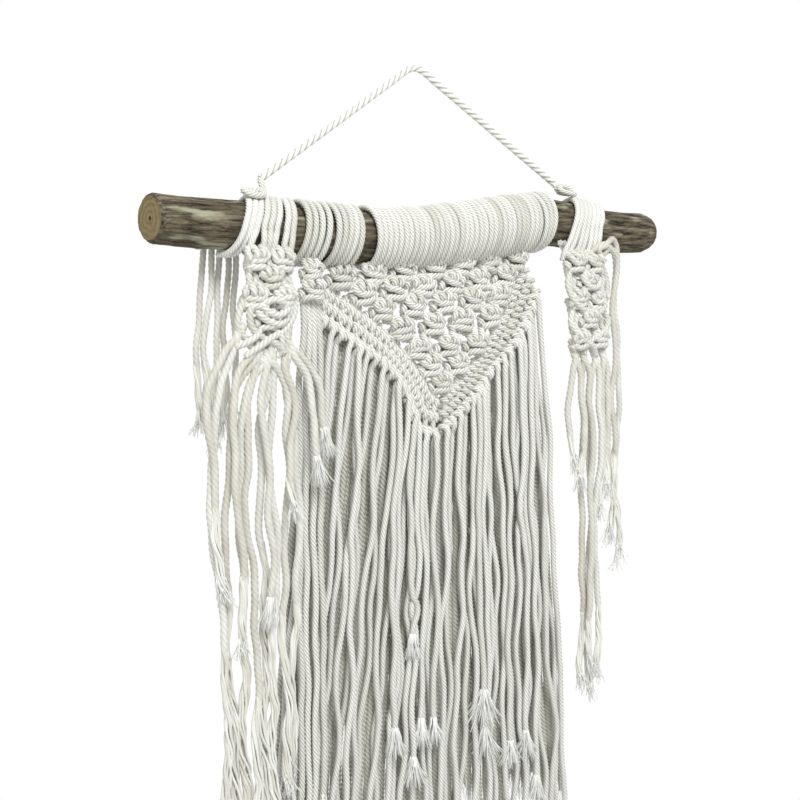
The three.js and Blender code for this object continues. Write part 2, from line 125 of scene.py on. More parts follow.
def cord(line, radius=2.0, yarns=5, groove=0.26, turn=11.5, closed=False, tint=0.5, swell=None,
         corners=2, shade=1.0):
    """Vertices, faces, caps, tint and hollows of one twisted cord along a line of evenly spaced points.

    `groove` is the depth of the hollows as a share of the radius, `turn` the length of one full twist,
    `corners` the points drawn for each yarn, `swell` a size for each ring, and `shade` how dark the painted
    shade in the hollows is: only those of full shade get sharp edges.
    """
    n, k = len(line), yarns * corners
    side, up = directions(line)
    steps = np.linalg.norm(np.diff(line, axis=0), axis=1)
    run = np.concatenate([[0], np.cumsum(steps)])
    drift = 0.0
    if closed:
        last = math.atan2(side[-1] @ up[0], side[-1] @ side[0])
        whole = run[-1] + np.linalg.norm(line[0] - line[-1])
        turn = whole / max(1, round(whole / turn))
        drift = -last * run / whole
    around = 2 * math.pi * np.arange(k) / k
    hollow = 1 - np.abs(np.cos(yarns * around / 2))
    star = radius * (1 - groove * hollow)
    angle = around[None, :] - (2 * math.pi * run / turn)[:, None] + np.reshape(drift, (-1, 1))
    size = np.ones(n) if swell is None else np.asarray(swell)
    sideways = (star * np.cos(angle))[..., None] * side[:, None]
    upwards = (star * np.sin(angle))[..., None] * up[:, None]
    spots = (line[:, None] + (sideways + upwards) * size[:, None, None]).reshape(-1, 3)
    i = np.arange(n if closed else n - 1)[:, None] * k
    j = np.arange(k)[None, :]
    wrap = (i + k) % (n * k)
    quads = np.stack([i + j, i + (j + 1) % k, wrap + (j + 1) % k, wrap + j], axis=-1).reshape(-1, 4)
    caps = [] if closed else [np.arange(k)[::-1], np.arange(k) + (n - 1) * k]
    return spots, quads, caps, np.full(len(spots), tint), np.tile(hollow * shade, n)


# the real string has seven fine yarns: five show as well at this distance and need fewer faces
STRING = {"yarns": 5, "groove": 0.32, "turn": 13.0}
sample = cord(smooth_line([(0, 0, 0), (0, 0, -50), (0, 0, -100)], 1.2), **STRING)
print("100 mm of string has", len(sample[0]), "points and", 2 * len(sample[1]), "triangles")

# %% [markdown]
# ## Pieces from cords
# Hundreds of cords are too many objects, and one object for all of them couldn't be taken apart. So all
# the cords of one sub-part are joined into one mesh. Each cord keeps a number of its own, its tint, which
# the cotton material reads to make one cord a little creamier than the next. The tint also carries painted
# shade, darker on cords behind others and in the tassels, and painted light, paler on thin loose yarns.

# %% Join cords into one piece
def make_piece(name, parts, finish, nodes=()):
    """One object from the parts that cord() gives. It rides on the root body and replaces CAD nodes."""
    starts = np.cumsum([0] + [len(part[0]) for part in parts[:-1]])
    spots = np.concatenate([part[0] for part in parts]) * MM
    quads = np.concatenate([part[1] + start for part, start in zip(parts, starts)])
    caps = [cap + start for part, start in zip(parts, starts) for cap in part[2]]
    corners = np.concatenate([quads.ravel(), *caps]).astype(np.int32)
    sizes = np.array([4] * len(quads) + [len(cap) for cap in caps], np.int32)
    mesh = bpy.data.meshes.new(name)
    mesh.vertices.add(len(spots))
    mesh.vertices.foreach_set("co", spots.astype(np.float32).ravel())
    mesh.loops.add(len(corners))
    mesh.loops.foreach_set("vertex_index", corners)
    mesh.polygons.add(len(sizes))
    mesh.polygons.foreach_set("loop_start", np.concatenate([[0], np.cumsum(sizes)[:-1]]).astype(np.int32))
    mesh.polygons.foreach_set("loop_total", sizes)
    mesh.polygons.foreach_set("use_smooth", sizes == 4)
    mesh.update(calc_edges=True)
    for place, word in ((3, "tint"), (4, "hollow")):
        values = np.concatenate([part[place] for part in parts]).astype(np.float32)
        mesh.attributes.new(word, "FLOAT", "POINT").data.foreach_set("value", values)
    ends = np.empty(2 * len(mesh.edges), np.int32)
    mesh.edges.foreach_get("vertices", ends)
    sharp = (values[ends.reshape(-1, 2)] > 0.99).all(axis=1)
    mesh.attributes.new("sharp_edge", "BOOLEAN", "EDGE").data.foreach_set("value", sharp)
    piece = bpy.data.objects.new(name, mesh)
    piece.data.materials.append(finish)
    bpy.context.scene.collection.objects.link(piece)
    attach(piece, "root")
    if nodes:
        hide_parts(*nodes)
    triangles = int((sizes - 2).sum())
    print(f"{name}: {len(parts)} parts, {triangles} triangles")
    return piece


# %% [markdown]
# ## Materials
# Undyed cotton is matt: almost all that the eye gets is soft scattered light, with a faint sheen from the
# hairs at grazing angles. Its white is a little cool in the light and creamy in the shade, and that shade is
# painted into its colour in the hollows between the yarns. Dry bark is rough and grey, with brown in its
# cracks and pale lichen on its back, and the sawn end shows the tan of the wood.

# %% Colour and node helpers
def srgb(code):
    """Linear colour from a hex code such as 'f2f0e8'."""
    values = [int(code[i:i + 2], 16) / 255 for i in (0, 2, 4)]
    return [v / 12.92 if v <= 0.04045 else ((v + 0.055) / 1.055) ** 2.4 for v in values] + [1.0]


def add_node(tree, kind, settings=None, inputs=None, stops=()):
    """Adds a node. `inputs` gives each socket a value, or another node's output to link from.

    `stops` are the places and hex colours of a colour ramp, from low to high.
    """
    node = tree.nodes.new("ShaderNode" + kind)
    for name, value in (settings or {}).items():
        setattr(node, name, value)
    for name, value in (inputs or {}).items():
        socket = next(s for i, s in enumerate(node.inputs) if name in (i, s.identifier, s.name))
        if isinstance(value, bpy.types.NodeSocket):
            tree.links.new(value, socket)
        else:
            socket.default_value = value
    for i, (place, code) in enumerate(stops):
        bands = node.color_ramp.elements
        band = bands[i] if i < len(bands) else bands.new(place)
        band.position = place
        band.color = srgb(code)
    return node


def new_material(name):
    """An empty material, and the tree that its nodes go into."""
    material = bpy.data.materials.new(name)
    material.use_nodes = True
    material.node_tree.nodes.clear()
    return material, material.node_tree


MIX_COLOURS = {"data_type": "RGBA"}
MULTIPLY = {"operation": "MULTIPLY"}
print("colour check: mid grey 808080 is", round(srgb("808080")[0], 3), "of full light")

# %% Undyed cotton string
# Yarn fuzz is about 0.1 mm thick. It is drawn as 0.5 mm mottling here, the finest that shows at this
# distance. Slubs, the thick places of a yarn, make paler and creamier stretches about 10 mm long.
FUZZ_PER_METRE = 2000
SLUB_PER_METRE = 90


def cotton_string():
    """Matt cotton with creamier stretches, painted shade in the hollows between its yarns, fuzz and a faint
    sheen.
    """
    material, tree = new_material("undyed_cotton_string")
    place = add_node(tree, "TexCoord").outputs["Object"]
    fuzz = add_node(tree, "TexNoise", inputs={"Vector": place, "Scale": FUZZ_PER_METRE, "Detail": 2.0})
    slub = add_node(tree, "TexNoise", inputs={"Vector": place, "Scale": SLUB_PER_METRE, "Detail": 3.0})
    tint = add_node(tree, "Attribute", {"attribute_name": "tint"}).outputs["Fac"]
    blend = add_node(tree, "Math", {"operation": "MULTIPLY_ADD"}, {0: slub.outputs["Fac"], 1: 0.5, 2: tint})
    cream = add_node(tree, "ValToRGB", inputs={"Fac": blend.outputs[0]}, stops=[
        (0.0, "cbc8bc"), (0.3, "e1e2db"), (0.8, "f1f2ee"), (1.0, "f6f7f4"),
    ])
    # painted shade: the hollows between yarns get less light than the mesh can show, so their colour is
    # darker too
    hollow = add_node(tree, "Attribute", {"attribute_name": "hollow"}).outputs["Fac"]
    depth = add_node(tree, "Math", MULTIPLY, {0: hollow, 1: 0.74})
    shaded = add_node(tree, "Mix", MIX_COLOURS, {
        "Factor_Float": depth.outputs[0], "A_Color": cream.outputs["Color"], "B_Color": srgb("8e8b79"),
    })
    bump = add_node(tree, "Bump", inputs={
        "Height": fuzz.outputs["Fac"], "Strength": 0.5, "Distance": 0.0002,
    })
    shader = add_node(tree, "BsdfPrincipled", inputs={
        "Base Color": shaded.outputs[2],
        "Roughness": 0.92,
        "Sheen Weight": 0.25,
        "Sheen Roughness": 0.5,
        "Specular IOR Level": 0.25,
        "Normal": bump.outputs["Normal"],
    })
    add_node(tree, "OutputMaterial", inputs={"Surface": shader.outputs[0]})
    return material


COTTON = cotton_string()
print("made", COTTON.name)

# %% Bark
# Bark cracks run along the branch and are about eight times longer than wide: 2.5 mm across, 20 mm long.
# Pale lichen grows in patches four times longer than wide: 8 mm across, 30 mm long.
CRACKS_PER_METRE = 400
LICHEN_PER_METRE = 120
# browner and greyer patches, 18 mm wide
PATCHES_PER_METRE = 55


def dry_bark():
    """Rough bark with cracks along the branch, greyer and browner patches and pale lichen."""
    material, tree = new_material("dry_bark")
    place = add_node(tree, "TexCoord").outputs["Object"]
    along = add_node(tree, "Mapping", inputs={"Vector": place, "Scale": (0.13, 1.0, 1.0)})
    cracks = add_node(tree, "TexNoise", inputs={
        "Vector": along.outputs["Vector"], "Scale": CRACKS_PER_METRE, "Detail": 7.0, "Roughness": 0.75,
        "Distortion": 0.25,
    }).outputs["Fac"]
    patches = add_node(tree, "TexNoise", inputs={"Vector": place, "Scale": PATCHES_PER_METRE, "Detail": 4.0})
    broad = add_node(tree, "Mapping", inputs={"Vector": place, "Scale": (0.25, 1.0, 1.0)})
    lichen = add_node(tree, "TexNoise", inputs={
        "Vector": broad.outputs["Vector"], "Scale": LICHEN_PER_METRE, "Detail": 3.0,
    })
    grey = add_node(tree, "ValToRGB", inputs={"Fac": cracks}, stops=[
        (0.37, "120e0a"), (0.455, "4a4436"), (0.54, "6f6857"), (0.7, "aaa38e"),
    ])
    brown = add_node(tree, "ValToRGB", inputs={"Fac": cracks}, stops=[
        (0.37, "100c08"), (0.46, "463d2e"), (0.66, "7b6e56"),
    ])
    worn = add_node(tree, "Mix", MIX_COLOURS, {
        "Factor_Float": patches.outputs["Fac"], "A_Color": grey.outputs["Color"],
        "B_Color": brown.outputs["Color"],
    })
    pale = add_node(tree, "ValToRGB", inputs={"Fac": lichen.outputs["Fac"]}, stops=[
        (0.58, "000000"), (0.67, "d8d8d8"),
    ])
    coat = add_node(tree, "Mix", MIX_COLOURS, {
        "Factor_Float": pale.outputs["Color"], "A_Color": worn.outputs[2], "B_Color": srgb("b3b29b"),
    })
    bump = add_node(tree, "Bump", inputs={"Height": cracks, "Strength": 0.9, "Distance": 0.0012})
    shader = add_node(tree, "BsdfPrincipled", inputs={
        "Base Color": coat.outputs[2],
        "Roughness": 0.85,
        "Specular IOR Level": 0.3,
        "Normal": bump.outputs["Normal"],
    })
    add_node(tree, "OutputMaterial", inputs={"Surface": shader.outputs[0]})
    return material


BARK = dry_bark()
print("made", BARK.name)

# %% Sawn end
# The pith is a small dark hole, the year rings lie round it and the rim under the bark is dark. The rings
# are drawn as about four wide ones, because fine ones wouldn't show.
PITH = (0.0, 0.0085, 0.0940)
# this scale gives a ring every 3.5 mm
RING_SCALE = 90
# marks of the saw, 1.4 mm wide
GRIT_PER_METRE = 700
# the distance from the pith times this runs from 0 to 1 over the hole, or over the whole face
HOLE_ZOOM = 300.0
FACE_ZOOM = 60.0


def sawn_end():
    """The sawn face with its dark pith, faint rings, marks of the saw and dark rim."""
    material, tree = new_material("sawn_end_grain")
    place = add_node(tree, "TexCoord").outputs["Object"]
    pith = add_node(tree, "Mapping", inputs={
        "Vector": place, "Location": PITH, "Scale": (0.0, 1.0, 1.0),
    }).outputs["Vector"]
    rings = add_node(tree, "TexWave", {"wave_type": "RINGS", "rings_direction": "X"}, {
        "Vector": pith, "Scale": RING_SCALE, "Distortion": 7.0, "Detail": 4.0,
    })
    grit = add_node(tree, "TexNoise", inputs={"Vector": place, "Scale": GRIT_PER_METRE, "Detail": 3.0})
    grain = add_node(tree, "Mix", MIX_COLOURS, {
        "Factor_Float": 0.78, "A_Color": rings.outputs["Color"], "B_Color": grit.outputs["Color"],
    })
    tan = add_node(tree, "ValToRGB", inputs={"Fac": grain.outputs[2]}, stops=[
        (0.2, "66583a"), (0.5, "82744e"), (0.8, "998b64"),
    ])
    apart = add_node(tree, "VectorMath", {"operation": "LENGTH"}, {0: pith}).outputs["Value"]
    near = add_node(tree, "Math", MULTIPLY, {0: apart, 1: HOLE_ZOOM})
    hole = add_node(tree, "ValToRGB", inputs={"Fac": near.outputs[0]}, stops=[
        (0.25, "ffffff"), (0.5, "000000"),
    ])
    far = add_node(tree, "Math", MULTIPLY, {0: apart, 1: FACE_ZOOM})
    rim = add_node(tree, "ValToRGB", inputs={"Fac": far.outputs[0]}, stops=[
        (0.66, "000000"), (0.84, "ffffff"),
    ])
    face = add_node(tree, "Mix", MIX_COLOURS, {
        "Factor_Float": hole.outputs["Color"], "A_Color": tan.outputs["Color"], "B_Color": srgb("2a1d12"),
    })
    wood = add_node(tree, "Mix", MIX_COLOURS, {
        "Factor_Float": rim.outputs["Color"], "A_Color": face.outputs[2], "B_Color": srgb("453a29"),
    })
    bump = add_node(tree, "Bump", inputs={
        "Height": grit.outputs["Fac"], "Strength": 0.6, "Distance": 0.0006,
    })
    shader = add_node(tree, "BsdfPrincipled", inputs={
        "Base Color": wood.outputs[2], "Roughness": 0.8, "Normal": bump.outputs["Normal"],
    })
    add_node(tree, "OutputMaterial", inputs={"Surface": shader.outputs[0]})
    return material


SAWN = sawn_end()
print("made", SAWN.name)

# %% [markdown]
# ## Branch
# A branch is never a cylinder: it wanders, swells at old side shoots and has long ridges of bark. It
# could be a curve with a taper, but then the bark would be paint only. Here a grid is wrapped round the
# branch's own line, and each point moves in or out by a noise stretched along the branch, so the outline
# is rough too.

# %% Branch line
BRANCH_Y = -8.0
# x, height and radius along the branch
BRANCH = np.array([
    (-180, -93.8, 13.7), (-153, -96.0, 13.9), (-129, -96.8, 14.2), (-99, -99.4, 15.2), (-65, -101.0, 15.2),
    (-35, -101.9, 15.0), (-2, -101.0, 15.2), (22, -98.1, 15.6), (62, -92.8, 16.0), (93, -88.8, 15.6),
    (108, -89.2, 15.6), (160, -94.2, 14.4), (190, -94.1, 13.8), (197, -93.9, 11.8), (200, -93.8, 7.6),
])


def round_branch(x, angle, lift):
    """Points on the branch: angle 0 is its back, a quarter turn its top and a half turn its front."""
    height = np.interp(x, BRANCH[:, 0], BRANCH[:, 1])
    radius = np.interp(x, BRANCH[:, 0], BRANCH[:, 2]) + lift
    depth = BRANCH_Y + radius * np.cos(angle)
    return np.stack([x + 0 * angle, depth, height + radius * np.sin(angle)], axis=-1)


print("branch is", BRANCH[-1, 0] - BRANCH[0, 0], "mm long and up to", 2 * BRANCH[:, 2].max(), "mm thick")

# %% Branch surface
# how far the sawn end leans: millimetres along for each millimetre from front to back
CUT_SLANT = 0.13
# ridges of bark are about 3 mm wide and 30 mm long, lumps 20 mm wide: noise along x, y and z per
# millimetre
RIDGES = np.array([0.035, 0.36, 0.36])
LUMPS = np.array([0.03, 0.05, 0.05])


def make_branch(sides=104):
    """A grid of rings round the branch, moved in and out by ridges of bark and by broader lumps."""
    # fine steps where the bark shows, wide ones under the cords
    xs = np.concatenate([np.linspace(-180, -76, 90), np.linspace(-72, 94, 36), np.linspace(98, 198.5, 88)])
    rings = len(xs)
    around = 2 * math.pi * np.arange(sides) / sides
    grid = []
    for x in xs:
        ring = round_branch(x, around, 0.0)
        axis = np.array([x, BRANCH_Y, np.interp(x, BRANCH[:, 0], BRANCH[:, 1])])
        for spot in ring:
            ridge = noise.fractal(Vector(spot * RIDGES), 0.9, 2.1, 4)
            lump = noise.noise(Vector(spot * LUMPS))
            out = (spot - axis) / max(1e-6, np.linalg.norm(spot - axis))
            spot += out * (0.55 * ridge + 0.5 * lump - 0.25)
        grid.append(ring)
    grid = np.array(grid)
    # the saw has rounded the bark's edge: the first two rings are smaller
    for i, share in enumerate((0.86, 0.96)):
        middle = grid[i].mean(axis=0)
        grid[i] = middle + (grid[i] - middle) * share
    slant = np.clip(1 - (xs + 180) / 30, 0, 1)[:, None]
    grid[..., 0] -= CUT_SLANT * (grid[..., 1] - BRANCH_Y) * slant
    spots = grid.reshape(-1, 3)
    i, j = np.arange(rings - 1)[:, None] * sides, np.arange(sides)[None, :]
    quads = np.stack([i + j, i + (j + 1) % sides, i + sides + (j + 1) % sides, i + sides + j], axis=-1)
    caps = [np.arange(sides)[::-1], np.arange(sides) + (rings - 1) * sides]
    plain = np.zeros(len(spots))
    part = (spots, quads.reshape(-1, 4), caps, plain, plain)
    piece = make_piece("branch_with_bark", [part], BARK, ["branch"])
    piece.data.materials.append(SAWN)
    # the last two faces are the caps, and the first of them is the sawn end
    piece.data.polygons[len(piece.data.polygons) - 2].material_index = 1


make_branch()

# %% [markdown]
# ## Hanging cord
# The cord that carries the weight is thicker and has three strands, laid like rope. It is taut, so its
# two legs are straight, and it bends only where it lies on the nail.

# %% Hanging cord
HANGER_CORD = 4.6
# x, y and z of its middle line, from the left hitch over the nail to the right hitch
HANGER_ROUTE = [
    (-112.5, -6.6, -70.2), (-104, -6.1, -64.5), (-92, -5.4, -56.5), (-78, -4.6, -47.2), (-64, -3.8, -37.9),
    (-50, -2.9, -28.6), (-36, -2.1, -19.3), (-24, -1.4, -11.3), (-14, -0.8, -4.6), (-6.7, -0.4, 0.3),
    (-3.5, -0.2, 1.8), (0, -0.1, 2.3), (3.3, -0.2, 1.8), (6.2, -0.3, 0.6), (14, -0.6, -4.1),
    (24, -1.0, -10.1), (36, -1.5, -17.3), (50, -2.1, -25.7), (64, -2.7, -34.2), (78, -3.3, -42.6),
    (92, -3.9, -51.0), (104, -4.4, -58.2), (112, -4.8, -63.0),
]
ROPE = {"yarns": 3, "corners": 6, "groove": 0.3, "turn": 16.5}

hanger_line = smooth_line(HANGER_ROUTE, 0.9)
hanger = make_piece("hanging_cord", [cord(hanger_line, HANGER_CORD / 2, **ROPE)], COTTON,
                    ["hanger_cord"])

# %% [markdown]
# ## Cords round the branch
# Each cord of the panel is hitched on the branch, so what shows is a row of rings side by side. A ring is
# a closed loop a cord's radius off the bark. No two are quite alike: each leans a little and stands a
# little proud. Above the tassels the rings open at the front and run down into the first knots.

# %% Rings round the branch
CORD = 4.0
# pulled tight round the branch, the cord is a little thinner
RING_RADIUS = 1.98
# air left between the bark and the cords, so that they never cross
GAP = 0.35
# length of one step of a cord's mesh
CORD_SIDE = 1.2


def wrap_ring(x, lean, lift, tint):
    """One closed ring: its top lies `lean` further right, and all of it stands `lift` off its place."""
    angle = np.linspace(0, 2 * math.pi, 90, endpoint=False)
    line = round_branch(x + lean * np.cos(angle - 0.5 * math.pi), angle, GAP + RING_RADIUS + lift)
    loop = even_steps(np.vstack([line, line[:1]]), CORD_SIDE)[:-1]
    return cord(loop, RING_RADIUS, closed=True, tint=tint)


def wrap_rings(node, cords, lean):
    """Rings side by side over the whole length of a node, each with a place, lean and lift of its own."""
    low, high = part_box(node)
    left, pitch = low.x / MM, (high.x - low.x) / MM / cords
    draw = np.random.default_rng(cords)
    return [wrap_ring(left + pitch * (k + 0.5) + draw.normal(0, 0.12), lean + draw.normal(0, 0.3),
                      abs(draw.normal(0, 0.2)), draw.random()) for k in range(cords)]


# piece, node, number of cords and how far each leans
for name, node, cords, lean in (("rings_over_panel", "wraps_net_b", 34, 0.3),
                                ("rings_panel_left", "wraps_net_a", 5, 2.4),
                                ("rings_panel_right", "wraps_net_c", 3, 0.6),
                                ("rings_side_sennit", "wraps_sennit", 4, 3.2)):
    make_piece(name, wrap_rings(node, cords, lean), COTTON, [node])

# %% [markdown]
# Over the tassels a ring isn't closed: its cord comes up the back and over the top, and leaves the branch
# at the front for the tassel's first knots. The cords draw together on the way down, so bark shows
# between them.

# %% Cords that run down into the tassels
TASSEL_Y = -24.5
# x of each cord behind, on top and in front of the branch, then x and height where it ends. A cord
# without an end height goes on round the branch.
LEFT_RUNS = [(-118, -122.0, -131.6, -138.5, None), (-114, -118.3, -127.9, -134.5, None),
             (-110.5, -114.6, -124.6, -130.0, -111), (-106.5, -110.8, -120.4, -121.4, -111),
             (-103, -107.0, -116.5, -118.0, -111), (-99.5, -103.3, -112.6, -115.0, -111),
             (-97, -99.6, -106.4, -108.6, -111), (-94, -96.0, -102.6, -104.2, -112)]
RIGHT_RUNS = [(128, 124.2, 112.4, 103.8, -109), (132, 128.0, 116.2, 107.6, -110),
              (136, 131.8, 120.0, 114.6, -109), (139.5, 135.6, 123.8, 118.6, -109),
              (143, 139.4, 127.6, 124.2, -109), (146.5, 143.2, 131.6, 128.6, -109),
              (150, 147.0, 135.6, 132.6, -108)]
# angles of the points, in half turns: 0 is the branch's back, 0.5 its top, 1 its front and 1.5 its bottom
TURNS = np.array([-0.74, -0.6, -0.41, -0.2, 0, 0.2, 0.35, 0.5, 0.62,
                  0.75, 0.88, 1.0, 1.03, 1.15, 1.35, 1.56])


def run_down(behind, top, front, foot, foot_z, tint):
    """A cord from under the branch, up its back and over it, then down to the tassel or on round."""
    first, last = (-0.74, 1.03) if foot_z else (-0.41, 1.56)
    angle = TURNS[(TURNS >= first) & (TURNS <= last)]
    place = np.interp(angle, [-0.74, -0.41, 0, 0.5, 1.0, 1.5], [foot, behind, behind, top, front, foot])
    line = round_branch(place, angle * math.pi, GAP + RING_RADIUS)
    if foot_z:
        line = np.vstack([line, [(0.35 * front + 0.65 * foot, TASSEL_Y - 1.5, foot_z + 7),
                                 (foot, TASSEL_Y, foot_z), (foot, TASSEL_Y + 2, foot_z - 5)]])
    return cord(smooth_line(line, CORD_SIDE), RING_RADIUS, tint=tint, shade=0.7)


def run_down_all(name, runs, seed, nodes):
    """One piece from all the cords that run down into a tassel."""
    draw = np.random.default_rng(seed)
    make_piece(name, [run_down(*run, draw.random()) for run in runs], COTTON, nodes)


run_down_all("cords_over_left_tassel", LEFT_RUNS, 5, ["wraps_left_a", "wraps_left_b", "wraps_left_c"])
run_down_all("cords_over_right_tassel", RIGHT_RUNS, 6, ["wraps_right"])

# %% [markdown]
# ## Hitches of the hanging cord
# The hanging cord is tied to the branch with a loop that lies across itself on top of the other cords.
# The model keeps a lump there with the cord's end inside. Here the lump becomes the loop that a hand
# would tie.

# %% Hitches
# place along the branch, angle in half turns from its back over its top, and height over the rings
LEFT_HITCH = [(-113.5, 0.54, 0), (-119, 0.56, 0), (-124.5, 0.575, 0), (-127.6, 0.61, 0),
              (-126.6, 0.665, 0), (-121, 0.685, 0), (-118, 0.675, 0), (-116.2, 0.64, 0.5),
              (-117.5, 0.605, 0.6), (-120, 0.615, 0.6), (-124, 0.625, -0.6)]
RIGHT_HITCH = [(113, 0.50, 0), (117, 0.47, 0), (123, 0.48, 0), (125.5, 0.53, 0), (122, 0.58, 0),
               (116, 0.585, 0), (112, 0.55, 0.6), (113, 0.51, 3.0), (118, 0.53, 3.4), (122, 0.55, 1.5)]
HITCH_RADIUS = 1.95


def make_hitch(name, start, route, node):
    """A loop that begins at the hanging cord's end and lies on the rings."""
    over = GAP + CORD + HITCH_RADIUS
    places = [round_branch(x, np.array(turn * math.pi), over + lift) for x, turn, lift in route]
    loop = cord(smooth_line([start] + places, 1.0), HITCH_RADIUS)
    make_piece(name, [loop], COTTON, [node])


make_hitch("hitch_left_loop", HANGER_ROUTE[0], LEFT_HITCH, "hitch_left")
make_hitch("hitch_right_loop", HANGER_ROUTE[-1], RIGHT_HITCH, "hitch_right")

# %% [markdown]
# ## The square knot
# Nearly the whole panel is one knot, tied again and again with four cords. Two lie still in the middle.
# The two outer ones are tied round them, left over right and then right over left, so two bars cross the
# front and a bight stands at each side. Below, the four cords part: two go to each neighbour of the next
# row, and so the panel has its small diamond holes. One set of listed lines serves for every knot.

# %% Lines of a square knot
# x, y and z in the knot's own millimetres, from its upper to its lower end. The cord that is tied over
# starts at the left, the one that is tied under at the right, and the two core cords come through the
# middle.
OVER_CORD = [(-5.4, -2.6, 5.6), (-6.0, -5.2, 3.9), (-4.4, -5.0, 2.0), (-1.5, -5.8, 0.9), (2.3, -5.6, 0.7),
             (5.4, -3.2, 0.3), (6.3, -0.6, -0.9), (5.4, -3.0, -2.2), (2.6, -5.2, -2.8), (-1.0, -5.3, -3.0),
             (-4.2, -3.8, -3.4), (-5.2, -1.2, -4.6)]
UNDER_CORD = [(5.4, -2.8, 5.6), (6.3, -5.4, 3.8), (6.2, -3.0, 1.6), (4.6, 1.2, 0.8), (2.0, 2.9, 0.6),
              (-2.5, 2.9, 0.6), (-5.6, 1.2, 0.7), (-6.7, -2.2, 0.3), (-6.9, -3.0, -1.3), (-6.0, -0.4, -2.5),
              (-3.0, 2.9, -2.3), (2.5, 2.9, -2.3), (5.4, 1.2, -2.2), (6.5, -2.0, -2.8), (5.8, -2.0, -4.4)]
CORE_LEFT = [(-2.6, -4.6, 6.6), (-2.3, -6.6, 4.8), (-2.0, -4.6, 2.9), (-1.9, 0.2, 1.4),
             (-1.9, 0.6, -1), (-2.0, 0, -4)]
CORE_RIGHT = [(2.6, -4.6, 6.8), (2.3, -6.8, 5.0), (2.0, -4.6, 3.0), (1.9, 0.2, 1.4),
              (1.9, 0.6, -1), (2.0, 0, -4)]
# where the four cords leave the knot
PORTS = [(-5.0, 0.6, -5.0), (-2.0, 0.6, -5.2), (2.0, 0.6, -5.2), (5.0, 0.6, -5.0)]
KNOT_CORD = 2.2


def knot_cords(centre, sources, draw, size=1.0, radius=KNOT_CORD, flip=None, look=STRING, tints=(0, 1)):
    """Four cords of one square knot. `sources` are the places that each comes through, left to right.

    No two knots are alike: each leans a little, is tied over from the left or now and then from the right,
    and has a size and small errors of its own.
    """
    lean = draw.normal(0, 0.08)
    flip = flip or (1 if draw.random() < 0.75 else -1)
    grow = size * (1 + draw.normal(0, 0.04))
    turn = np.array([(math.cos(lean), 0, -math.sin(lean)), (0, 1, 0), (math.sin(lean), 0, math.cos(lean))])
    parts, lines = [], [OVER_CORD, CORE_LEFT, CORE_RIGHT, UNDER_CORD]
    for place in range(4):
        local = np.array(lines[place if flip > 0 else 3 - place], float) * (flip, 1, 1) * grow
        local += draw.normal(0, 0.35, local.shape)
        port = np.array(PORTS[place]) * grow
        route = np.vstack([sources[place], local @ turn.T + centre, port @ turn.T + centre])
        line = smooth_line(route, CORD_SIDE)
        parts.append(cord(line, radius * size ** 0.5, tint=draw.uniform(*tints), **look))
    return parts


for word, line in (("over", OVER_CORD), ("under", UNDER_CORD), ("core", CORE_LEFT)):
    print(f"one knot takes {np.linalg.norm(np.diff(line, axis=0), axis=1).sum():.0f} mm of the {word} cord")

# %% [markdown]
# ## The panel
# The rows have seven, six, five knots and so on down to one at the point. The first row takes its cords
# from under the branch, and every other row from the two knots above it.

# %% Where the knots and the borders are
NET_Y = -10.0
# knots of the panel are a little larger than the lines above
NET_KNOT = 1.08
# number of knots, x and height of the first one, spacing and rise to the right
NET_ROWS = [(7, -63.7, -126.2, 22.5, 1.85), (6, -47.0, -135.6, 21.8, 1.95), (5, -33.3, -145.6, 22.8, 1.8),
            (4, -18.9, -157.4, 23.1, 2.0), (3, -6.3, -169.8, 22.4, 0.8), (2, 2.7, -180.6, 20.9, 0.0),
            (1, 10.6, -191.8, 0.0, 0.0)]
# inner and outer edge of each border, from the top corner to the point: x, z, x, z
BORDER_LEFT = [(-72.0, -131.0, -78.6, -150.0), (-53.0, -141.5, -61.0, -161.5),
               (-38.6, -151.5, -45.7, -170.6), (-24.2, -163.3, -32.0, -179.5),
               (-11.6, -176.0, -21.0, -190.0), (-1.5, -188.0, -13.5, -206.0),
               (6.5, -196.0, -8.5, -222.0), (11.4, -200.0, 10.6, -227.0)]
BORDER_RIGHT = [(79.6, -116.0, 94.5, -136.0), (70.5, -130.0, 87.5, -152.0), (65.5, -143.0, 78.5, -165.0),
                (57.5, -156.0, 70.0, -175.0), (46.0, -172.0, 57.0, -183.5), (30.0, -186.5, 41.0, -201.5),
                (12.4, -200.0, 13.2, -226.0)]


def border_line(border, share):
    """A line along the border: share 0 is its inner edge and 1 its outer edge."""
    rows = [(xi + (xo - xi) * share, NET_Y, zi + (zo - zi) * share) for xi, zi, xo, zo in border]
    return smooth_line(rows, 0.5)


print("the panel has", sum(row[0] for row in NET_ROWS), "knots")
for word, border in (("left", BORDER_LEFT), ("right", BORDER_RIGHT)):
    print("the", word, "border is", round(0.5 * len(border_line(border, 0.5))), "mm long")

# %% Rows of square knots
def cord_to_border(start, border, draw):
    """The outermost cords of a row run on to the border's first bar."""
    bar = border_line(border, 0.12)
    out = -1 if border is BORDER_LEFT else 1
    wish = start + (out * 3.5, 0, -4.5)
    end = bar[np.argmin(np.linalg.norm(bar - wish, axis=1))]
    route = [start + (0, 0.3, 0.8), (start + end) / 2 + (out * 0.6, -1.0, 0.4), end]
    return cord(smooth_line(route, CORD_SIDE), KNOT_CORD, tint=draw.random(), **STRING)


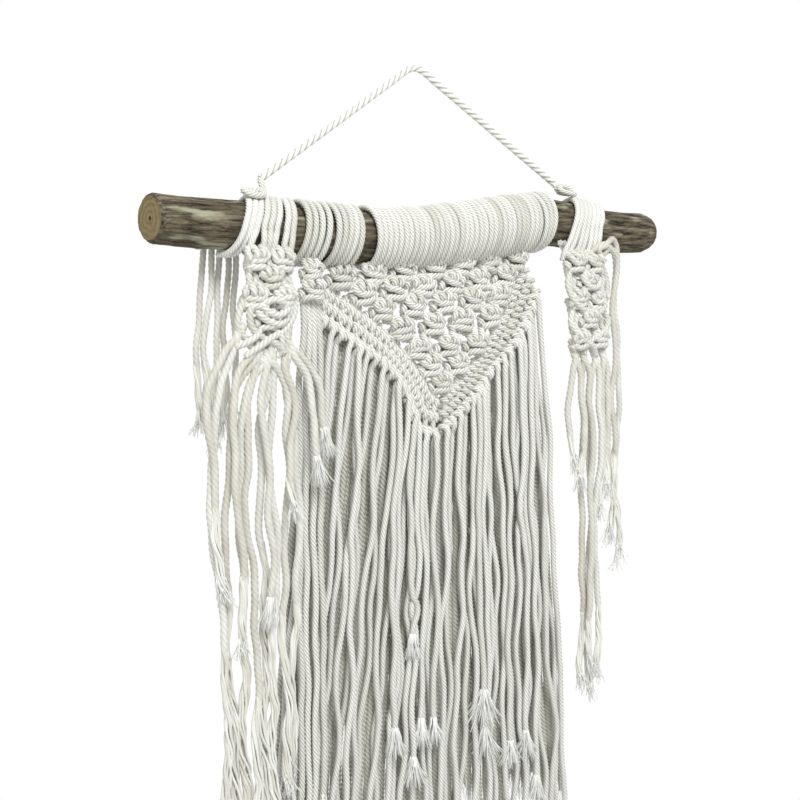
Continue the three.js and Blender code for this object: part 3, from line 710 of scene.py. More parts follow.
def make_net():
    """All rows, from the branch down. Each knot takes two cords from either knot above it."""
    draw = np.random.default_rng(11)
    parts, above = [], None
    for knots, x, z, pitch, rise in NET_ROWS:
        row = [np.array([x + pitch * i, NET_Y, z + rise * i]) for i in range(knots)]
        for i, centre in enumerate(row):
            if above is None:
                under = np.interp(centre[0], BRANCH[:, 0], BRANCH[:, 1] - BRANCH[:, 2]) - 2.0
                sources = [np.array([centre[0] + dx, -9.0, under]) for dx in (-5.2, -2.1, 2.1, 5.2)]
            else:
                left, right = above[i], above[i + 1]
                sources = [left + PORTS[2], left + PORTS[3], right + PORTS[0], right + PORTS[1]]
            parts += knot_cords(centre, sources, draw, NET_KNOT)
        edges = ((row[0], PORTS[:2], BORDER_LEFT), (row[-1], PORTS[2:], BORDER_RIGHT))
        for centre, ports, border in edges:
            for port in ports:
                parts.append(cord_to_border(centre + port, border, draw))
        above = row
    make_piece("square_knot_panel", parts, COTTON, ["net_panel"])


make_net()

# %% [markdown]
# ## The pointed border
# Under the knots each side has three bars of half hitches. A bar is a holding cord that every other cord
# is wound round in turn, so it looks like a tight coil. Here each bar is one coil that follows the
# border's edge, and short cords join bar to bar behind it.

# %% Border bars
HITCH_PITCH = 4.3
HITCH_CORD = 2.05
# where the three bars lie between the border's inner and outer edge
BAR_SHARES = (1 / 6, 1 / 2, 5 / 6)
# a short cord joins bar to bar at each of these shares of their length
JOIN_SHARES = np.arange(0.03, 1, 0.055)


def bar_coil(line, draw, tint):
    """One bar: a coil along the line, whose turns differ a little in width and place."""
    run = np.linspace(0, 1, len(line))
    length = np.linalg.norm(np.diff(line, axis=0), axis=1).sum()
    turns = round(length / HITCH_PITCH)
    fine = np.linspace(0, 1, turns * 12)
    middle = np.stack([np.interp(fine, run, line[:, k]) for k in range(3)], axis=1)
    along = np.gradient(middle, axis=0)
    along /= np.linalg.norm(along, axis=1, keepdims=True)
    out = np.cross(along, (0, 1, 0))
    phase = 2 * math.pi * turns * fine
    width = 1.9 + np.interp(fine, np.linspace(0, 1, turns), draw.normal(0, 0.22, turns))
    slip = np.interp(fine, np.linspace(0, 1, turns), draw.normal(0, 0.35, turns))
    coil = middle + out * (width * np.cos(phase) + slip * 0.4)[:, None] + along * slip[:, None]
    coil[:, 1] -= width * 1.08 * np.sin(phase)
    return cord(even_steps(coil, 1.15), HITCH_CORD, tint=tint, **STRING)


def make_border(border, seed):
    """The three bars of one border and the short cords between them."""
    draw = np.random.default_rng(seed)
    bars = [border_line(border, share) for share in BAR_SHARES]
    parts = [bar_coil(line, draw, draw.random()) for line in bars]
    inner = border_line(border, -0.1)
    for near, far in zip([inner] + bars[:-1], bars):
        for share in JOIN_SHARES:
            start, end = near[int(share * (len(near) - 1))], far[int(share * (len(far) - 1))]
            route = [start + (0, 0.6, 0), (start + end) / 2 + (0, -0.5, 0), end + (0, 0.6, 0)]
            parts.append(cord(smooth_line(route, 1.6), CORD / 2, tint=draw.random()))
    return parts


print("each border has", len(BAR_SHARES) * len(JOIN_SHARES), "short cords between its bars")

# %% [markdown]
# ## Fringe
# Below the border the cords simply hang. A cord that hangs is not a straight line: it keeps a memory of
# the hank that it came from, so it sways a few millimetres from side to side and lies now in front of its
# neighbour and now behind. The ends are cut uneven and have brushed out. A few shorter ones end in front
# of the others.

# %% Brushed ends
def fibre(line, thick, draw):
    """One loose yarn: too thin for ridges, so only three sides."""
    taper = np.linspace(1.1, 0.6, len(line))
    # a loose yarn is paler than a cord: painted light, to make up for the shade that thin yarns get from
    # each other
    tint = draw.uniform(0.8, 1.2)
    return cord(line, thick, yarns=3, corners=1, groove=0, turn=1e6, swell=taper, tint=tint)


def brush(end, direction, draw, fibres=24, length=9.0, spread=0.3, thick=0.34, start=1.7):
    """Loose yarns at the cut end of a cord. They start inside it, so that they hide its end."""
    direction = np.array(direction, float) / np.linalg.norm(direction)
    parts = []
    for _ in range(fibres):
        side = draw.normal(0, 1, 3)
        side -= direction * (side @ direction)
        side /= np.linalg.norm(side)
        off = start * draw.random() ** 0.4
        reach = length * draw.uniform(0.6, 1.1)
        fan = spread * off / start * draw.uniform(0.4, 1.4)
        curl = draw.normal(0, 0.5, 3)
        steps = np.linspace(0, 1, 6)[:, None]
        line = (end - direction * 3.5 + side * off + direction * (reach + 3.5) * steps
                + side * fan * reach * steps ** 1.5 + curl * np.sin(steps * math.pi * 1.6))
        parts.append(fibre(line, thick, draw))
    return parts


def tapered(count, last=4):
    """Sizes along a cord that draws in over its last few rings, where its yarns part."""
    return np.concatenate([np.ones(count - last), np.linspace(0.95, 0.6, last)])


print("a brushed end has", len(brush(np.zeros(3), (0, 0, -1), np.random.default_rng(1))), "loose yarns")

# %% Edges and ends of the fringe
# strands of each half, in the front row and behind it
FRINGE_PER_SIDE = 17
FRINGE_BEHIND = 28
# height of the ends in the middle, how much lower they are to the right, and how uneven
FRINGE_END, FRINGE_END_SLOPE, FRINGE_UNEVEN = -500.0, -0.15, 18.0
# x and z of a place on the left and on the right edge, and how far each moves right for a millimetre up
FRINGE_EDGES = ((-77.0, -150.0, 0.113), (104.0, -140.0, -0.076))


def fringe_x(height, share):
    """A place across the fringe at a height: share 0 is its left edge and 1 its right edge."""
    left, right = (x + spread * (height - z) for x, z, spread in FRINGE_EDGES)
    return left + (right - left) * share


def uneven(n):
    """A repeatable number between -1 and 1."""
    return math.sin(n * 12.9898 + 4.1) * math.cos(n * 7.233 + 1.7)


print("the fringe is", round(fringe_x(FRINGE_END, 1) - fringe_x(FRINGE_END, 0)), "mm wide at its ends")

# %% Let the strands settle
STRAND = 2.05
# no strand leaves these depths: the first is in front of the whole fringe, and the wall is behind the second
FRINGE_DEPTHS = (-15.6, 2.4)
# the strands are settled at these heights
LEVELS = np.arange(-120.0, -530.0, -4.0)


def sway(heights, draw, amount):
    """How far a hanging cord wanders from a straight line, in long, middle and short waves."""
    away = np.zeros(len(heights))
    for shortest, longest, share in ((130, 220, 1.0), (55, 90, 0.85), (24, 38, 0.2)):
        turns = heights / draw.uniform(shortest, longest)
        away += amount * share * np.sin(2 * math.pi * turns + draw.uniform(0, 6.28))
    return away


def hang(strands, draw, rounds=60):
    """Lets strands settle side by side, and gives each its line.

    Each strand has a wish: a swaying way from its top to its end. In every round strands that overlap at a
    level push each other apart, each line is smoothed, and each is drawn a little towards its wish.
    """
    count = len(strands)
    at = np.zeros((count, len(LEVELS), 2))
    there = np.zeros((count, len(LEVELS)), bool)
    for k, strand in enumerate(strands):
        (x, _, z), end, end_x = strand["top"], strand["end"], strand["end_x"]
        share = np.clip((z - LEVELS) / (z - end), 0, 1)
        waves = sway(LEVELS, draw, strand["sway"]) * np.clip(share * 4, 0, 1)
        at[k, :, 0] = x + (end_x - x) * share ** 0.8 + waves
        at[k, :, 1] = strand["y"] + sway(LEVELS, draw, 0.4 * strand["sway"])
        there[k] = (LEVELS < z - 6) & (LEVELS > end)
    wish = at.copy()
    # two strands need their own thickness and 0.1 mm of air
    need = 2 * STRAND + 0.1
    both = there[:, None] & there[None, :] & ~np.eye(count, dtype=bool)[:, :, None]
    for _ in range(rounds):
        apart = at[:, None] - at[None, :]
        distance = np.linalg.norm(apart, axis=-1) + 1e-6
        # each of two that overlap gives way by a little less than half
        push = np.where(both, np.clip(need - distance, 0, None), 0) * 0.45
        at += (apart / distance[..., None] * push[..., None]).sum(axis=1)
        # a cord can't bend sharply, and it is drawn back a little to its wish
        at[:, 1:-1] += 0.3 * ((at[:, :-2] + at[:, 2:]) / 2 - at[:, 1:-1])
        at += 0.03 * (wish - at)
        at[:, :, 1] = np.clip(at[:, :, 1], *FRINGE_DEPTHS)
    for k, strand in enumerate(strands):
        line = [(x, y, z) for (x, y), z, keep in zip(at[k], LEVELS, there[k]) if keep]
        last = line[-1]
        strand["line"] = np.array([*strand["start"], *line, (last[0], last[1], strand["end"])])


print("strands are settled at", len(LEVELS), "levels")

# %% Where the strands begin and end
# depths of the front row, which lies out and in by turns, of the row behind and of the short ends
FRONT_Y, FRONT_SHIFT, BEHIND_Y, SHORT_Y = -11.5, 1.6, (-3.4, -2.0), -15.5
# shorter cords that end in front of the others: x and height of the end, length and spread of its tuft
SHORT_ENDS = [(-62, -446, 14, 0.4), (-29, -408, 15, 0.5), (-14, -350, 13, 0.35), (-12, -430, 15, 0.55),
              (-5, -406, 16, 0.4), (5, -408, 14, 0.6), (44, -398, 19, 0.9), (49, -424, 16, 0.7),
              (70, -438, 15, 0.5), (85, -434, 15, 0.5), (94, -468, 15, 0.4)]


def fringe_strands():
    """A wavy row in front, a straighter row behind it that closes the gaps, and the short ends."""
    strands = []
    bars = [border_line(border, BAR_SHARES[-1]) for border in (BORDER_LEFT, BORDER_RIGHT)]
    total = 2 * FRINGE_PER_SIDE
    for order in range(total):
        side, i = (0, order) if order < FRINGE_PER_SIDE else (1, total - 1 - order)
        top = bars[side][int((i + 0.5) / FRINGE_PER_SIDE * (len(bars[side]) - 1))]
        end = FRINGE_END + FRINGE_END_SLOPE * top[0] + FRINGE_UNEVEN * uneven(i if side == 0 else order)
        strands.append({
            "side": side, "kind": "front", "top": top, "end": end,
            "end_x": fringe_x(end, min(order + 0.5, total - 1.2) / total),
            "y": FRONT_Y + FRONT_SHIFT * (-1) ** order, "sway": 1.0 if order in (0, total - 1) else 2.4,
            "start": [top + (0, -1.5, 1.0), top + (0, -3.4, -2.2)],
        })
    for side, border in enumerate((BORDER_LEFT, BORDER_RIGHT)):
        bar = border_line(border, 0.35)
        for i in range(FRINGE_BEHIND):
            top = bar[int((i + 0.6) / FRINGE_BEHIND * (len(bar) - 1))]
            end = FRINGE_END + 20 + FRINGE_UNEVEN * uneven(40 + i + side)
            share = (i + 0.6) / (2 * FRINGE_BEHIND)
            strands.append({
                "side": side, "kind": "behind", "top": top, "end": end,
                "end_x": fringe_x(end, share if side == 0 else 1 - share),
                "y": BEHIND_Y[i % 2], "sway": 0.4,
                "start": [top + (0, 2.5, 0), top + (0, 4.6, -3)],
            })
    for x, end, length, spread in SHORT_ENDS:
        side = 0 if x < 8 else 1
        top = bars[side][np.argmin(np.abs(bars[side][:, 0] - x * 0.85 - 1.5))]
        strands.append({
            "side": side, "kind": "short", "top": top, "end": end, "end_x": x, "y": SHORT_Y, "sway": 2.0,
            "start": [top + (1.5, -2.0, 0), top + (1.5, -4.5, -3)],
            "tuft": {"fibres": 70, "length": length, "spread": spread, "thick": 0.44, "start": 1.9},
        })
    return strands


FRINGE = fringe_strands()
for kind in ("front", "behind", "short"):
    print(sum(strand["kind"] == kind for strand in FRINGE), "strands", kind)

# %% Make the fringe
# a strand behind is a little thick, so that it closes the fringe, and creamier: painted shade, as less
# light gets there
BEHIND = {"yarns": 4, "turn": 11.5, "radius": 1.28 * STRAND, "tint": 0.0}


def strand_parts(strand, draw):
    """One strand of the fringe with the brush at its end."""
    behind = strand["kind"] == "behind"
    line = smooth_line(strand["line"], 2.6 if behind else CORD_SIDE)
    swell = tapered(len(line)) * (1 + 0.04 * np.sin(np.arange(len(line)) * 0.11 + draw.uniform(0, 6)))
    if behind:
        part = cord(line, swell=swell, **BEHIND)
    else:
        part = cord(line, STRAND, swell=swell, shade=0.86, tint=0.35 + 0.6 * draw.random(), **STRING)
    tuft = strand.get("tuft", {"fibres": 8 if behind else 20})
    return [part] + brush(line[-1], line[-1] - line[-3], draw, **tuft)


draw_fringe = np.random.default_rng(21)
hang(FRINGE, draw_fringe)
for side, (word, border) in enumerate((("left", BORDER_LEFT), ("right", BORDER_RIGHT))):
    bars = make_border(border, 40 + side)
    half = [strand for strand in FRINGE if strand["side"] == side]
    front, behind = [], []
    # first the strands that show in front, then those behind them
    for strand in sorted(half, key=lambda strand: strand["kind"] == "behind"):
        row = behind if strand["kind"] == "behind" else front
        row += strand_parts(strand, draw_fringe)
    make_piece(f"border_{word}_bars", bars, COTTON)
    make_piece(f"fringe_{word}_strands", front, COTTON, [f"fringe_{word}"])
    make_piece(f"fringe_{word}_behind", behind, COTTON)

# %% [markdown]
# ## Knotted tassels
# Each tassel is a narrow panel of the same square knots, two and one by turns. Where there is one knot,
# the outer cords pass it on both sides. Some cords are led over the finished knots in wide bows, which is
# what makes the tassels look wild. A rule can't place those, so each is a short list of points. Below the
# last knots the cords fan out and hang.

# %% Tassel heads
# these cords are loosely twisted, so their ridges are wide and shallow
SOFT = {"yarns": 4, "groove": 0.22, "turn": 12.0, "shade": 0.7}
# low tints make the tassel cords a little darker than the fringe: painted shade, as the tassels stand out
# towards the lamp above and in front
SOFT_TINTS = (-0.05, 0.25)
# the knots of each row: x and height. A single knot's row ends with how far the outer cords bulge past it
# on its left and on its right.
LEFT_HEAD = [[(-125.6, -117), (-110.8, -117.5)], [(-118.6, -127, 12.5, 13)],
             [(-128.6, -137.5), (-110.6, -138.5)], [(-120.2, -148.5, 17.0, 14.5)]]
RIGHT_HEAD = [[(112.0, -117), (127.5, -118)], [(121.5, -129, 14, 16)], [(114.4, -141), (133.2, -142)],
              [(124.6, -154.5, 15, 16)], [(116.2, -167), (134.2, -168)]]
# the cords that are led over the knots, each as points: x, distance in front and height
LEFT_OVER = [
    [(-109, 0, -126), (-103.8, 1.5, -132), (-102.4, 2, -141), (-105, 2.5, -148.5), (-110.5, 3, -154.5),
     (-118, 4.5, -157.5), (-126, 4, -162.5), (-134, 1.5, -168)],
    [(-114, 1, -126.5), (-107.7, 3, -131), (-105.9, 3.5, -138), (-106.8, 3.5, -144.5), (-110.5, 2.5, -151),
     (-108.5, 2, -158), (-104, 1, -166)],
    [(-126.5, 3, -135), (-125, 5, -139.5), (-121.5, 6.5, -143.8), (-115.5, 6.5, -145.6), (-109.8, 6, -143),
     (-107.5, 3, -138.5)],
    [(-129, 3, -141.5), (-126, 5, -145.5), (-121, 5.5, -149), (-114.5, 5.5, -150.6), (-108.6, 3.5, -148.2)],
    [(-126, 3, -140), (-123, 6, -138.6), (-118.5, 7, -137.0), (-113.5, 7, -138.2), (-109.2, 5, -141.4)],
    [(-127, 1, -128.5), (-133, 2.5, -133), (-136.2, 3, -139.5), (-138.4, 3, -146), (-138.4, 2.5, -152),
     (-134, 2, -157.5), (-129.5, 1, -163)],
    [(-125, 3, -131), (-129.6, 4.5, -137.5), (-132.4, 5, -144), (-131.8, 4.5, -150), (-128, 3.5, -155),
     (-122, 3, -158.5), (-115.5, 4, -161.5), (-110, 3, -167)],
    [(-124, 2, -152.5), (-128.5, 4, -157), (-134.5, 3.5, -160.5), (-140, 1.5, -162.5)],
    [(-116, 2, -152.5), (-112.5, 4, -157.5), (-112, 3.5, -163), (-114, 1.5, -169)],
]
RIGHT_OVER = [
    [(131, 1, -112), (138, 2, -120), (141, 2.5, -130), (139.5, 3.5, -138), (134, 3.5, -143)],
    [(107, 2, -121), (104.8, 2.5, -130), (108, 4, -138.5), (115, 5, -145), (123, 4.5, -149.5),
     (131, 3, -155)],
    [(128, 4, -134), (134, 5.5, -138), (135.5, 6, -144), (130.5, 6, -148.5), (124, 4, -147.5)],
    [(138, 2, -147), (142, 3, -154), (138, 4.5, -160.5), (130, 5, -164), (123, 4, -169), (120, 2, -176)],
    [(110, 2, -147), (107.8, 3, -155), (111.5, 4.5, -161.5), (118, 5, -166.5), (127, 4.5, -171),
     (132, 2, -178)],
    [(118, 4, -121), (117, 6, -127), (122, 7, -131.5), (129, 6, -131), (133, 3, -126)],
]


def led_over(routes, draw):
    """Cords that pass in front of the knots."""
    parts = []
    for route in routes:
        line = smooth_line([(x, TASSEL_Y - ahead, z) for x, ahead, z in route], CORD_SIDE)
        parts.append(cord(line, 2.15, tint=draw.uniform(*SOFT_TINTS), **SOFT))
    return parts


def knotted_head(rows, feet, draw, size, radius):
    """Knots tied with eight cords. Gives the parts and the eight places where the strands begin."""
    ways = [[np.array(foot, float)] for foot in feet]
    parts = []
    for row in rows:
        if len(row) == 1:
            (x, z, *bulge), = row
            for place, out in ((0, -bulge[0]), (1, 3.6 - bulge[0]), (6, bulge[1] - 3.6), (7, bulge[1])):
                for rise in (2.5, -2.5):
                    bow = (x + out + draw.normal(0, 0.4), TASSEL_Y - 1.5, z + rise)
                    ways[place].append(np.array(bow))
            groups = [(2, (x, z))]
        else:
            groups = [(0, row[0]), (4, row[1])]
        for first, (x, z) in groups:
            centre = np.array([x, TASSEL_Y, z]) + draw.normal(0, 0.4, 3)
            sources = [np.array(ways[first + k]) for k in range(4)]
            parts += knot_cords(centre, sources, draw, size, radius, look=SOFT, tints=SOFT_TINTS)
            for k in range(4):
                ways[first + k] = [centre + np.array(PORTS[k]) * size]
    return parts, [way[-1] for way in ways]


for word, rows, routes in (("left", LEFT_HEAD, LEFT_OVER), ("right", RIGHT_HEAD, RIGHT_OVER)):
    knots = sum(len(row) for row in rows)
    print("the", word, "tassel has", knots, "knots and", len(routes), "cords led over them")

# %% [markdown]
# ## Strands that have come untwisted
# The tassel strands were handled more than the fringe. They are soft cords of four thick plies, and lower
# down they have opened into loose, crimped yarns. A particle system of hairs could do that, but a few
# yarns that wave together look more like cotton, and they stay ordinary meshes.

# %% Loose strands
PLIED = {"yarns": 4, "corners": 3, "groove": 0.26, "turn": 14.5, "shade": 0.75}
YARN = 0.86
# length of one wave of a yarn, and of one turn of the yarns round each other
CRIMP = (17, 25)
SLOW_TURN = 75


def crimped_yarns(line, draw, count, opening, pale):
    """The yarns of a cord that has come untwisted. They keep the crimp of the twist and wave together."""
    side, up = directions(line)
    run = np.concatenate([[0], np.cumsum(np.linalg.norm(np.diff(line, axis=0), axis=1))])
    crimp, slip = draw.uniform(*CRIMP), draw.uniform(0, 6.28)
    parts = []
    for k in range(count):
        turn = 2 * math.pi * (k + draw.uniform(-0.3, 0.3)) / count - 2 * math.pi * run / SLOW_TURN
        out = draw.uniform(0.7, 1.4) + opening * np.clip(run / 120, 0, 1) * draw.uniform(0.2, 1.1)
        wave = 2 * math.pi * run / crimp + slip + draw.normal(0, 1.0)
        across = 1.2 * out * np.cos(turn) + 0.38 * np.sin(wave) + 0.2 * np.sin(wave * 0.37)
        through = 0.9 * out * np.sin(turn) + 0.3 * np.cos(wave)
        yarn = line + side * across[:, None] + up * through[:, None]
        yarn = yarn[:max(5, int(len(yarn) * draw.uniform(0.86, 1.0)))]
        parts.append(cord(yarn, YARN, yarns=5, corners=1, groove=0, turn=1e6,
                          swell=tapered(len(yarn)), tint=pale + draw.uniform(-0.15, 0.2)))
        parts += brush(yarn[-1], yarn[-1] - yarn[-3], draw, fibres=4, length=10, spread=0.4, start=0.6)
    return parts


# the low default `pale` makes these strands a little darker than the fringe: painted shade, as the tassels
# stand out towards the lamp above and in front
def loose_strand(route, draw, opens=0.5, radius=2.3, yarns=8, opening=1.7, pale=-0.02):
    """A plied cord that opens into crimped yarns after the given share of its length."""
    line = smooth_line(route, 1.3)
    run = np.concatenate([[0], np.cumsum(np.linalg.norm(np.diff(line, axis=0), axis=1))])
    line[:, 0] += np.clip(run / 40, 0, 1) * sway(run, draw, 1.5)
    line[:, 1] += np.clip(run / 40, 0, 1) * sway(run, draw, 0.9)
    closed = opens > 0.9
    cut = len(line) if closed else max(6, int(len(line) * opens)) + 3
    swell = tapered(cut, 4 if closed else 5)
    parts = [cord(line[:cut], radius, tint=pale + draw.uniform(-0.15, 0.2), swell=swell, **PLIED)]
    if closed:
        return parts + brush(line[-1], line[-1] - line[-3], draw, fibres=60, length=15, start=2.0)
    tail = even_steps(line[cut - 6:], 2.4)
    return parts + crimped_yarns(tail, draw, yarns, opening, pale)


trial = loose_strand([(0, 0, 0), (0, 0, -50), (0, 0, -100)], np.random.default_rng(1))
print("100 mm of a loose strand has", len(trial), "cords and yarns")

# %% Left tassel
# x and height at two places below the knots and at the end, then the depth, and the share where it opens
LEFT_STRANDS = [(-146, -163.5, -152.5, -177, -150, -300, 0, 0.7),
                (-141.5, -170, -148, -186, -146, -445, 3, 0.62),
                (-136, -174, -139.5, -192, -138, -330, -2, 0.8),
                (-127.5, -177, -129.5, -194, -128, -456, 1, 0.7),
                (-121, -176, -122.5, -196, -121, -306, -4, 0.95),
                (-115, -178, -114.5, -194, -116, -462, 3, 0.5),
                (-109.6, -174, -103.5, -190, -106.5, -256, -4, 0.85),
                (-102, -168.5, -95, -178, -90, -229, -4, 0.95)]
# strands from behind the knots: x and height of the start, then as above
LEFT_EXTRA = [(-124, -160, -128, -180, -134, -216, -134, -452, 4, 0.45),
              (-116, -160, -112, -180, -106, -216, -108, -430, 4, 0.6),
              (-120, -158, -120, -180, -121, -216, -120, -462, 5, 0.4),
              (-128, -158, -134, -178, -142, -212, -141, -440, 5, 0.5),
              (-112, -158, -106, -178, -100, -212, -101, -420, 5, 0.6),
              (-106, -156, -99, -168, -86, -190, -80, -214, 2, 0.95)]


def tassel_strands(starts, rows, draw, pale=-0.02):
    """Strands from the given starts. Neighbours change places, so that they cross below the knots."""
    parts = []
    for k, (x1, z1, x2, z2, x3, z3, depth, opens) in enumerate(rows):
        start = starts[k ^ 1]
        route = [start + (0, -0.4, 0.8),
                 (0.6 * start[0] + 0.4 * x1, TASSEL_Y - 1.5, 0.5 * (start[2] + z1)),
                 (x1, TASSEL_Y - 1 + 0.3 * depth, z1),
                 (x2, TASSEL_Y + 0.7 * depth, z2),
                 ((x2 + x3) / 2, TASSEL_Y + depth, (z2 + z3) / 2),
                 (x3, TASSEL_Y + depth, z3)]
        parts += loose_strand(route, draw, opens, pale=pale)
    return parts


# where the eight cords come from the branch
LEFT_FEET = [(x, TASSEL_Y + 0.5, -108.5)
             for x in (-130.5, -127.5, -122.5, -119.5, -115.5, -112.5, -108, -104.5)]

draw_left = np.random.default_rng(51)
left_parts, left_starts = knotted_head(LEFT_HEAD, LEFT_FEET, draw_left, size=0.96, radius=2.15)
left_parts += tassel_strands(left_starts, LEFT_STRANDS, draw_left)
extra_starts = [np.array([row[0], TASSEL_Y + 3, row[1]]) for row in LEFT_EXTRA]
# the strands from behind the knots get a darker tint: painted shade, as less light gets behind the knots
left_parts += tassel_strands(extra_starts, [row[2:] for row in LEFT_EXTRA], draw_left, -0.1)
left_parts += led_over(LEFT_OVER, draw_left)
make_piece("left_tassel_cords", left_parts, COTTON, ["tassel_left"])

# %% Right tassel
RIGHT_STRANDS = [(113, -184, 112, -205, 112, -250, 0, 0.8), (117, -186, 117, -207, 119, -262, -4, 0.75),
                 (122, -186, 124, -208, 127, -405, 2, 0.8), (126, -186, 128, -208, 130.5, -392, -3, 0.85),
                 (131, -187, 132, -208, 133.5, -412, 2, 0.82), (135, -187, 136, -208, 137, -398, -2, 0.8),
                 (140, -186, 142, -206, 144, -286, 1, 0.7), (143, -184, 146, -204, 148, -270, 0, 0.75)]
RIGHT_FEET = [(x, TASSEL_Y + 0.5, -107.5) for x in (104.5, 108, 113.5, 117, 121.5, 125, 129.5, 133)]

draw_right = np.random.default_rng(52)
right_parts, right_starts = knotted_head(RIGHT_HEAD, RIGHT_FEET, draw_right, size=1.0, radius=2.2)
right_parts += tassel_strands(right_starts, RIGHT_STRANDS, draw_right)
right_parts += led_over(RIGHT_OVER, draw_right)
make_piece("right_tassel_cords", right_parts, COTTON, ["tassel_right"])

# %% [markdown]
# ## Narrow sennit, strands at the back and the tied cord
# Beside the left tassel two square knots hang from the branch and end in four plain strands. Behind the
# branch a few strands hang from the cords that go round it. At the right a cord is tied in a loose
# overhand knot, and both its tails hang down.

# %% Narrow sennit
SENNIT_Y = -17.6
SENNIT_KNOT = 0.88
SENNIT_KNOTS = [(-87.2, SENNIT_Y, -122.5), (-87.2, SENNIT_Y, -133.5)]
# x and height of each strand at two places and at its end
SENNIT_ROWS = [(-91.5, -152, -94, -180, -96, -444), (-88, -152, -90, -180, -91.5, -452),
               (-85, -150, -85, -178, -86, -448), (-82, -150, -81, -176, -80, -436)]

draw_sennit = np.random.default_rng(53)
sennit_parts, starts = [], [np.array([x, SENNIT_Y, -113.5]) for x in (-92.5, -89.5, -85.5, -82.0)]
for centre in SENNIT_KNOTS:
    sennit_parts += knot_cords(centre, starts, draw_sennit, SENNIT_KNOT, 2.1, flip=1)
    starts = [centre + np.array(port) * SENNIT_KNOT for port in PORTS]
for start, (x1, z1, x2, z2, x3, z3) in zip(starts, SENNIT_ROWS):
    route = [start, (x1, SENNIT_Y - 0.5, z1), (x2, SENNIT_Y, z2),
             ((x2 + x3) / 2, SENNIT_Y, (z2 + z3) / 2), (x3, SENNIT_Y, z3)]
    line = smooth_line(route, CORD_SIDE)
    line[:, 0] += sway(line[:, 2], draw_sennit, 0.7) * np.clip((-150 - line[:, 2]) / 40, 0, 1)
    sennit_parts.append(cord(line, STRAND, tint=draw_sennit.random(), **STRING))
    sennit_parts += brush(line[-1], line[-1] - line[-3], draw_sennit)
make_piece("side_sennit_cords", sennit_parts, COTTON, ["side_sennit"])

# %% Strands behind the branch
BACK_Y = 7.4
# the cord that the strands hang from
BACK_RAIL = [(-146, BACK_Y - 1, -108), (-133, BACK_Y + 0.8, -107.5), (-116, BACK_Y - 1, -107.5)]
# x and height of each strand at its top, at a place below and at its end, and the share where it opens
BACK_ROWS = [(-141, -107, -144, -150, -148, -208, 0.7), (-136, -107, -139, -150, -143, -200, 0.75),
             (-131, -107, -133, -150, -137, -220, 0.75), (-126, -107, -127, -150, -130, -212, 0.7),
             (-121, -107, -121, -150, -123, -200, 0.8)]

draw_back = np.random.default_rng(54)
back_parts = [cord(smooth_line(BACK_RAIL, 1.3), 1.9, tint=0.4, **STRING)]
for x1, z1, x2, z2, x3, z3, opens in BACK_ROWS:
    route = [(x1, BACK_Y, z1 + 2), (x1, BACK_Y, z1 - 8), (x2, BACK_Y, z2), (x3, BACK_Y, z3)]
    back_parts += loose_strand(route, draw_back, opens, radius=1.9)
make_piece("back_strand_cords", back_parts, COTTON, ["back_strands"])

# %% Tied cord at the right
# x, y and z of the cord through the knot
TIE = [(126, -26, -109), (129.5, -29, -105), (134.5, -30.5, -103.2), (138.5, -29.5, -105.8),
       (137, -28, -109.5), (132, -29.5, -109.5), (130.5, -31.5, -106), (135, -32, -104.5),
       (140.5, -30, -101.2), (145, -28, -99.4), (148.4, -26.8, -103), (149.2, -26.2, -110),
       (149.2, -25.5, -125), (149.5, -25, -150)]
# the two tails, the first with the knot, each with the share where it opens
TAIL_ROWS = [(TIE + [(151, -25, -200), (155, -25, -260), (159, -25, -322)], 0.72),
             ([(139, -26.5, -102.5), (144, -26.0, -105.0), (150, -24.5, -109), (153, -24, -118),
               (154, -23.5, -140), (155, -24, -200), (154, -24, -312)], 0.6)]

draw_tail = np.random.default_rng(55)
tail_parts = []
for route, opens in TAIL_ROWS:
    tail_parts += loose_strand(route, draw_tail, opens, radius=2.1, yarns=7, opening=0.9)
make_piece("tied_cord_and_tails", tail_parts, COTTON, ["tail_strands"])

# %% [markdown]
# ## Floor and light
# The wall hanging is shown in the open, with a plain pale floor far below it and a pale world round it.
# Three large soft lamps do the rest: the strongest stands above and in front, and weaker ones at the left
# and behind lighten the shade. A sun would give hard shadows, and cords would lose their softness in
# them.

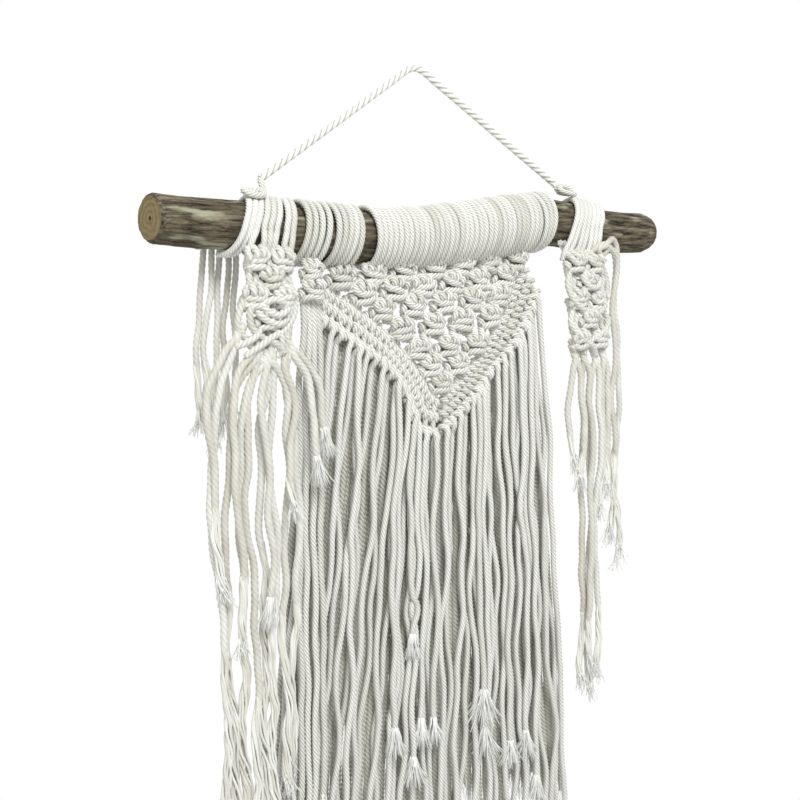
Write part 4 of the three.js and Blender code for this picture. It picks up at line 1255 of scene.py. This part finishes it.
# %% Floor and lights
def area_light(name, at, aim, size, power, colour):
    """A round lamp at a place in metres, turned to its aim. Power is in watts."""
    light = bpy.data.lights.new(name, "AREA")
    light.shape = "DISK"
    light.size = size
    light.energy = power
    light.color = srgb(colour)[:3]
    lamp = bpy.data.objects.new(name, light)
    lamp.location = at
    lamp.rotation_euler = (Vector(aim) - Vector(at)).to_track_quat("-Z", "Y").to_euler()
    bpy.context.scene.collection.objects.link(lamp)
    print(f"{name}: {power} W, {(Vector(aim) - Vector(at)).length:.2f} m from its aim")


def pale_floor(height=-1.3, radius=1.75, sides=96):
    """A pale disc far below the object."""
    mesh = bpy.data.meshes.new("floor")
    turns = [2 * math.pi * i / sides for i in range(sides)]
    rim = [(radius * math.cos(turn), radius * math.sin(turn), height) for turn in turns]
    mesh.from_pydata(rim, [], [range(sides)])
    floor = bpy.data.objects.new("floor", mesh)
    material, tree = new_material("pale_floor")
    shader = add_node(tree, "BsdfPrincipled", inputs={"Base Color": srgb("f7f7f5"), "Roughness": 0.9})
    add_node(tree, "OutputMaterial", inputs={"Surface": shader.outputs[0]})
    mesh.materials.append(material)
    bpy.context.scene.collection.objects.link(floor)


def studio_world(strength):
    """A white surround. Only a part of its light reaches the object, so that the lamps can shape it."""
    world = bpy.data.worlds.new("studio")
    bpy.context.scene.world = world
    world.use_nodes = True
    tree = world.node_tree
    tree.nodes.clear()
    seen = add_node(tree, "LightPath").outputs["Is Camera Ray"]
    level = add_node(tree, "MapRange", inputs={"Value": seen, "To Min": strength, "To Max": 1.0}).outputs[0]
    light = add_node(tree, "Background", inputs={"Color": srgb("ffffff"), "Strength": level})
    add_node(tree, "OutputWorld", inputs={"Surface": light.outputs[0]})


studio_world(0.62)
area_light("key_above_front", (-0.38, -1.25, 0.98), (0.0, 0.0, -0.26), 0.7, 25, "ffffff")
area_light("fill_left", (-1.6, -0.9, -0.1), (0.0, 0.0, -0.25), 1.2, 3, "fffdfa")
area_light("fill_back", (0.9, 1.6, 0.5), (0.0, 0.0, -0.25), 1.4, 14, "ffffff")
bpy.context.scene.view_settings.view_transform = "Standard"
pale_floor()
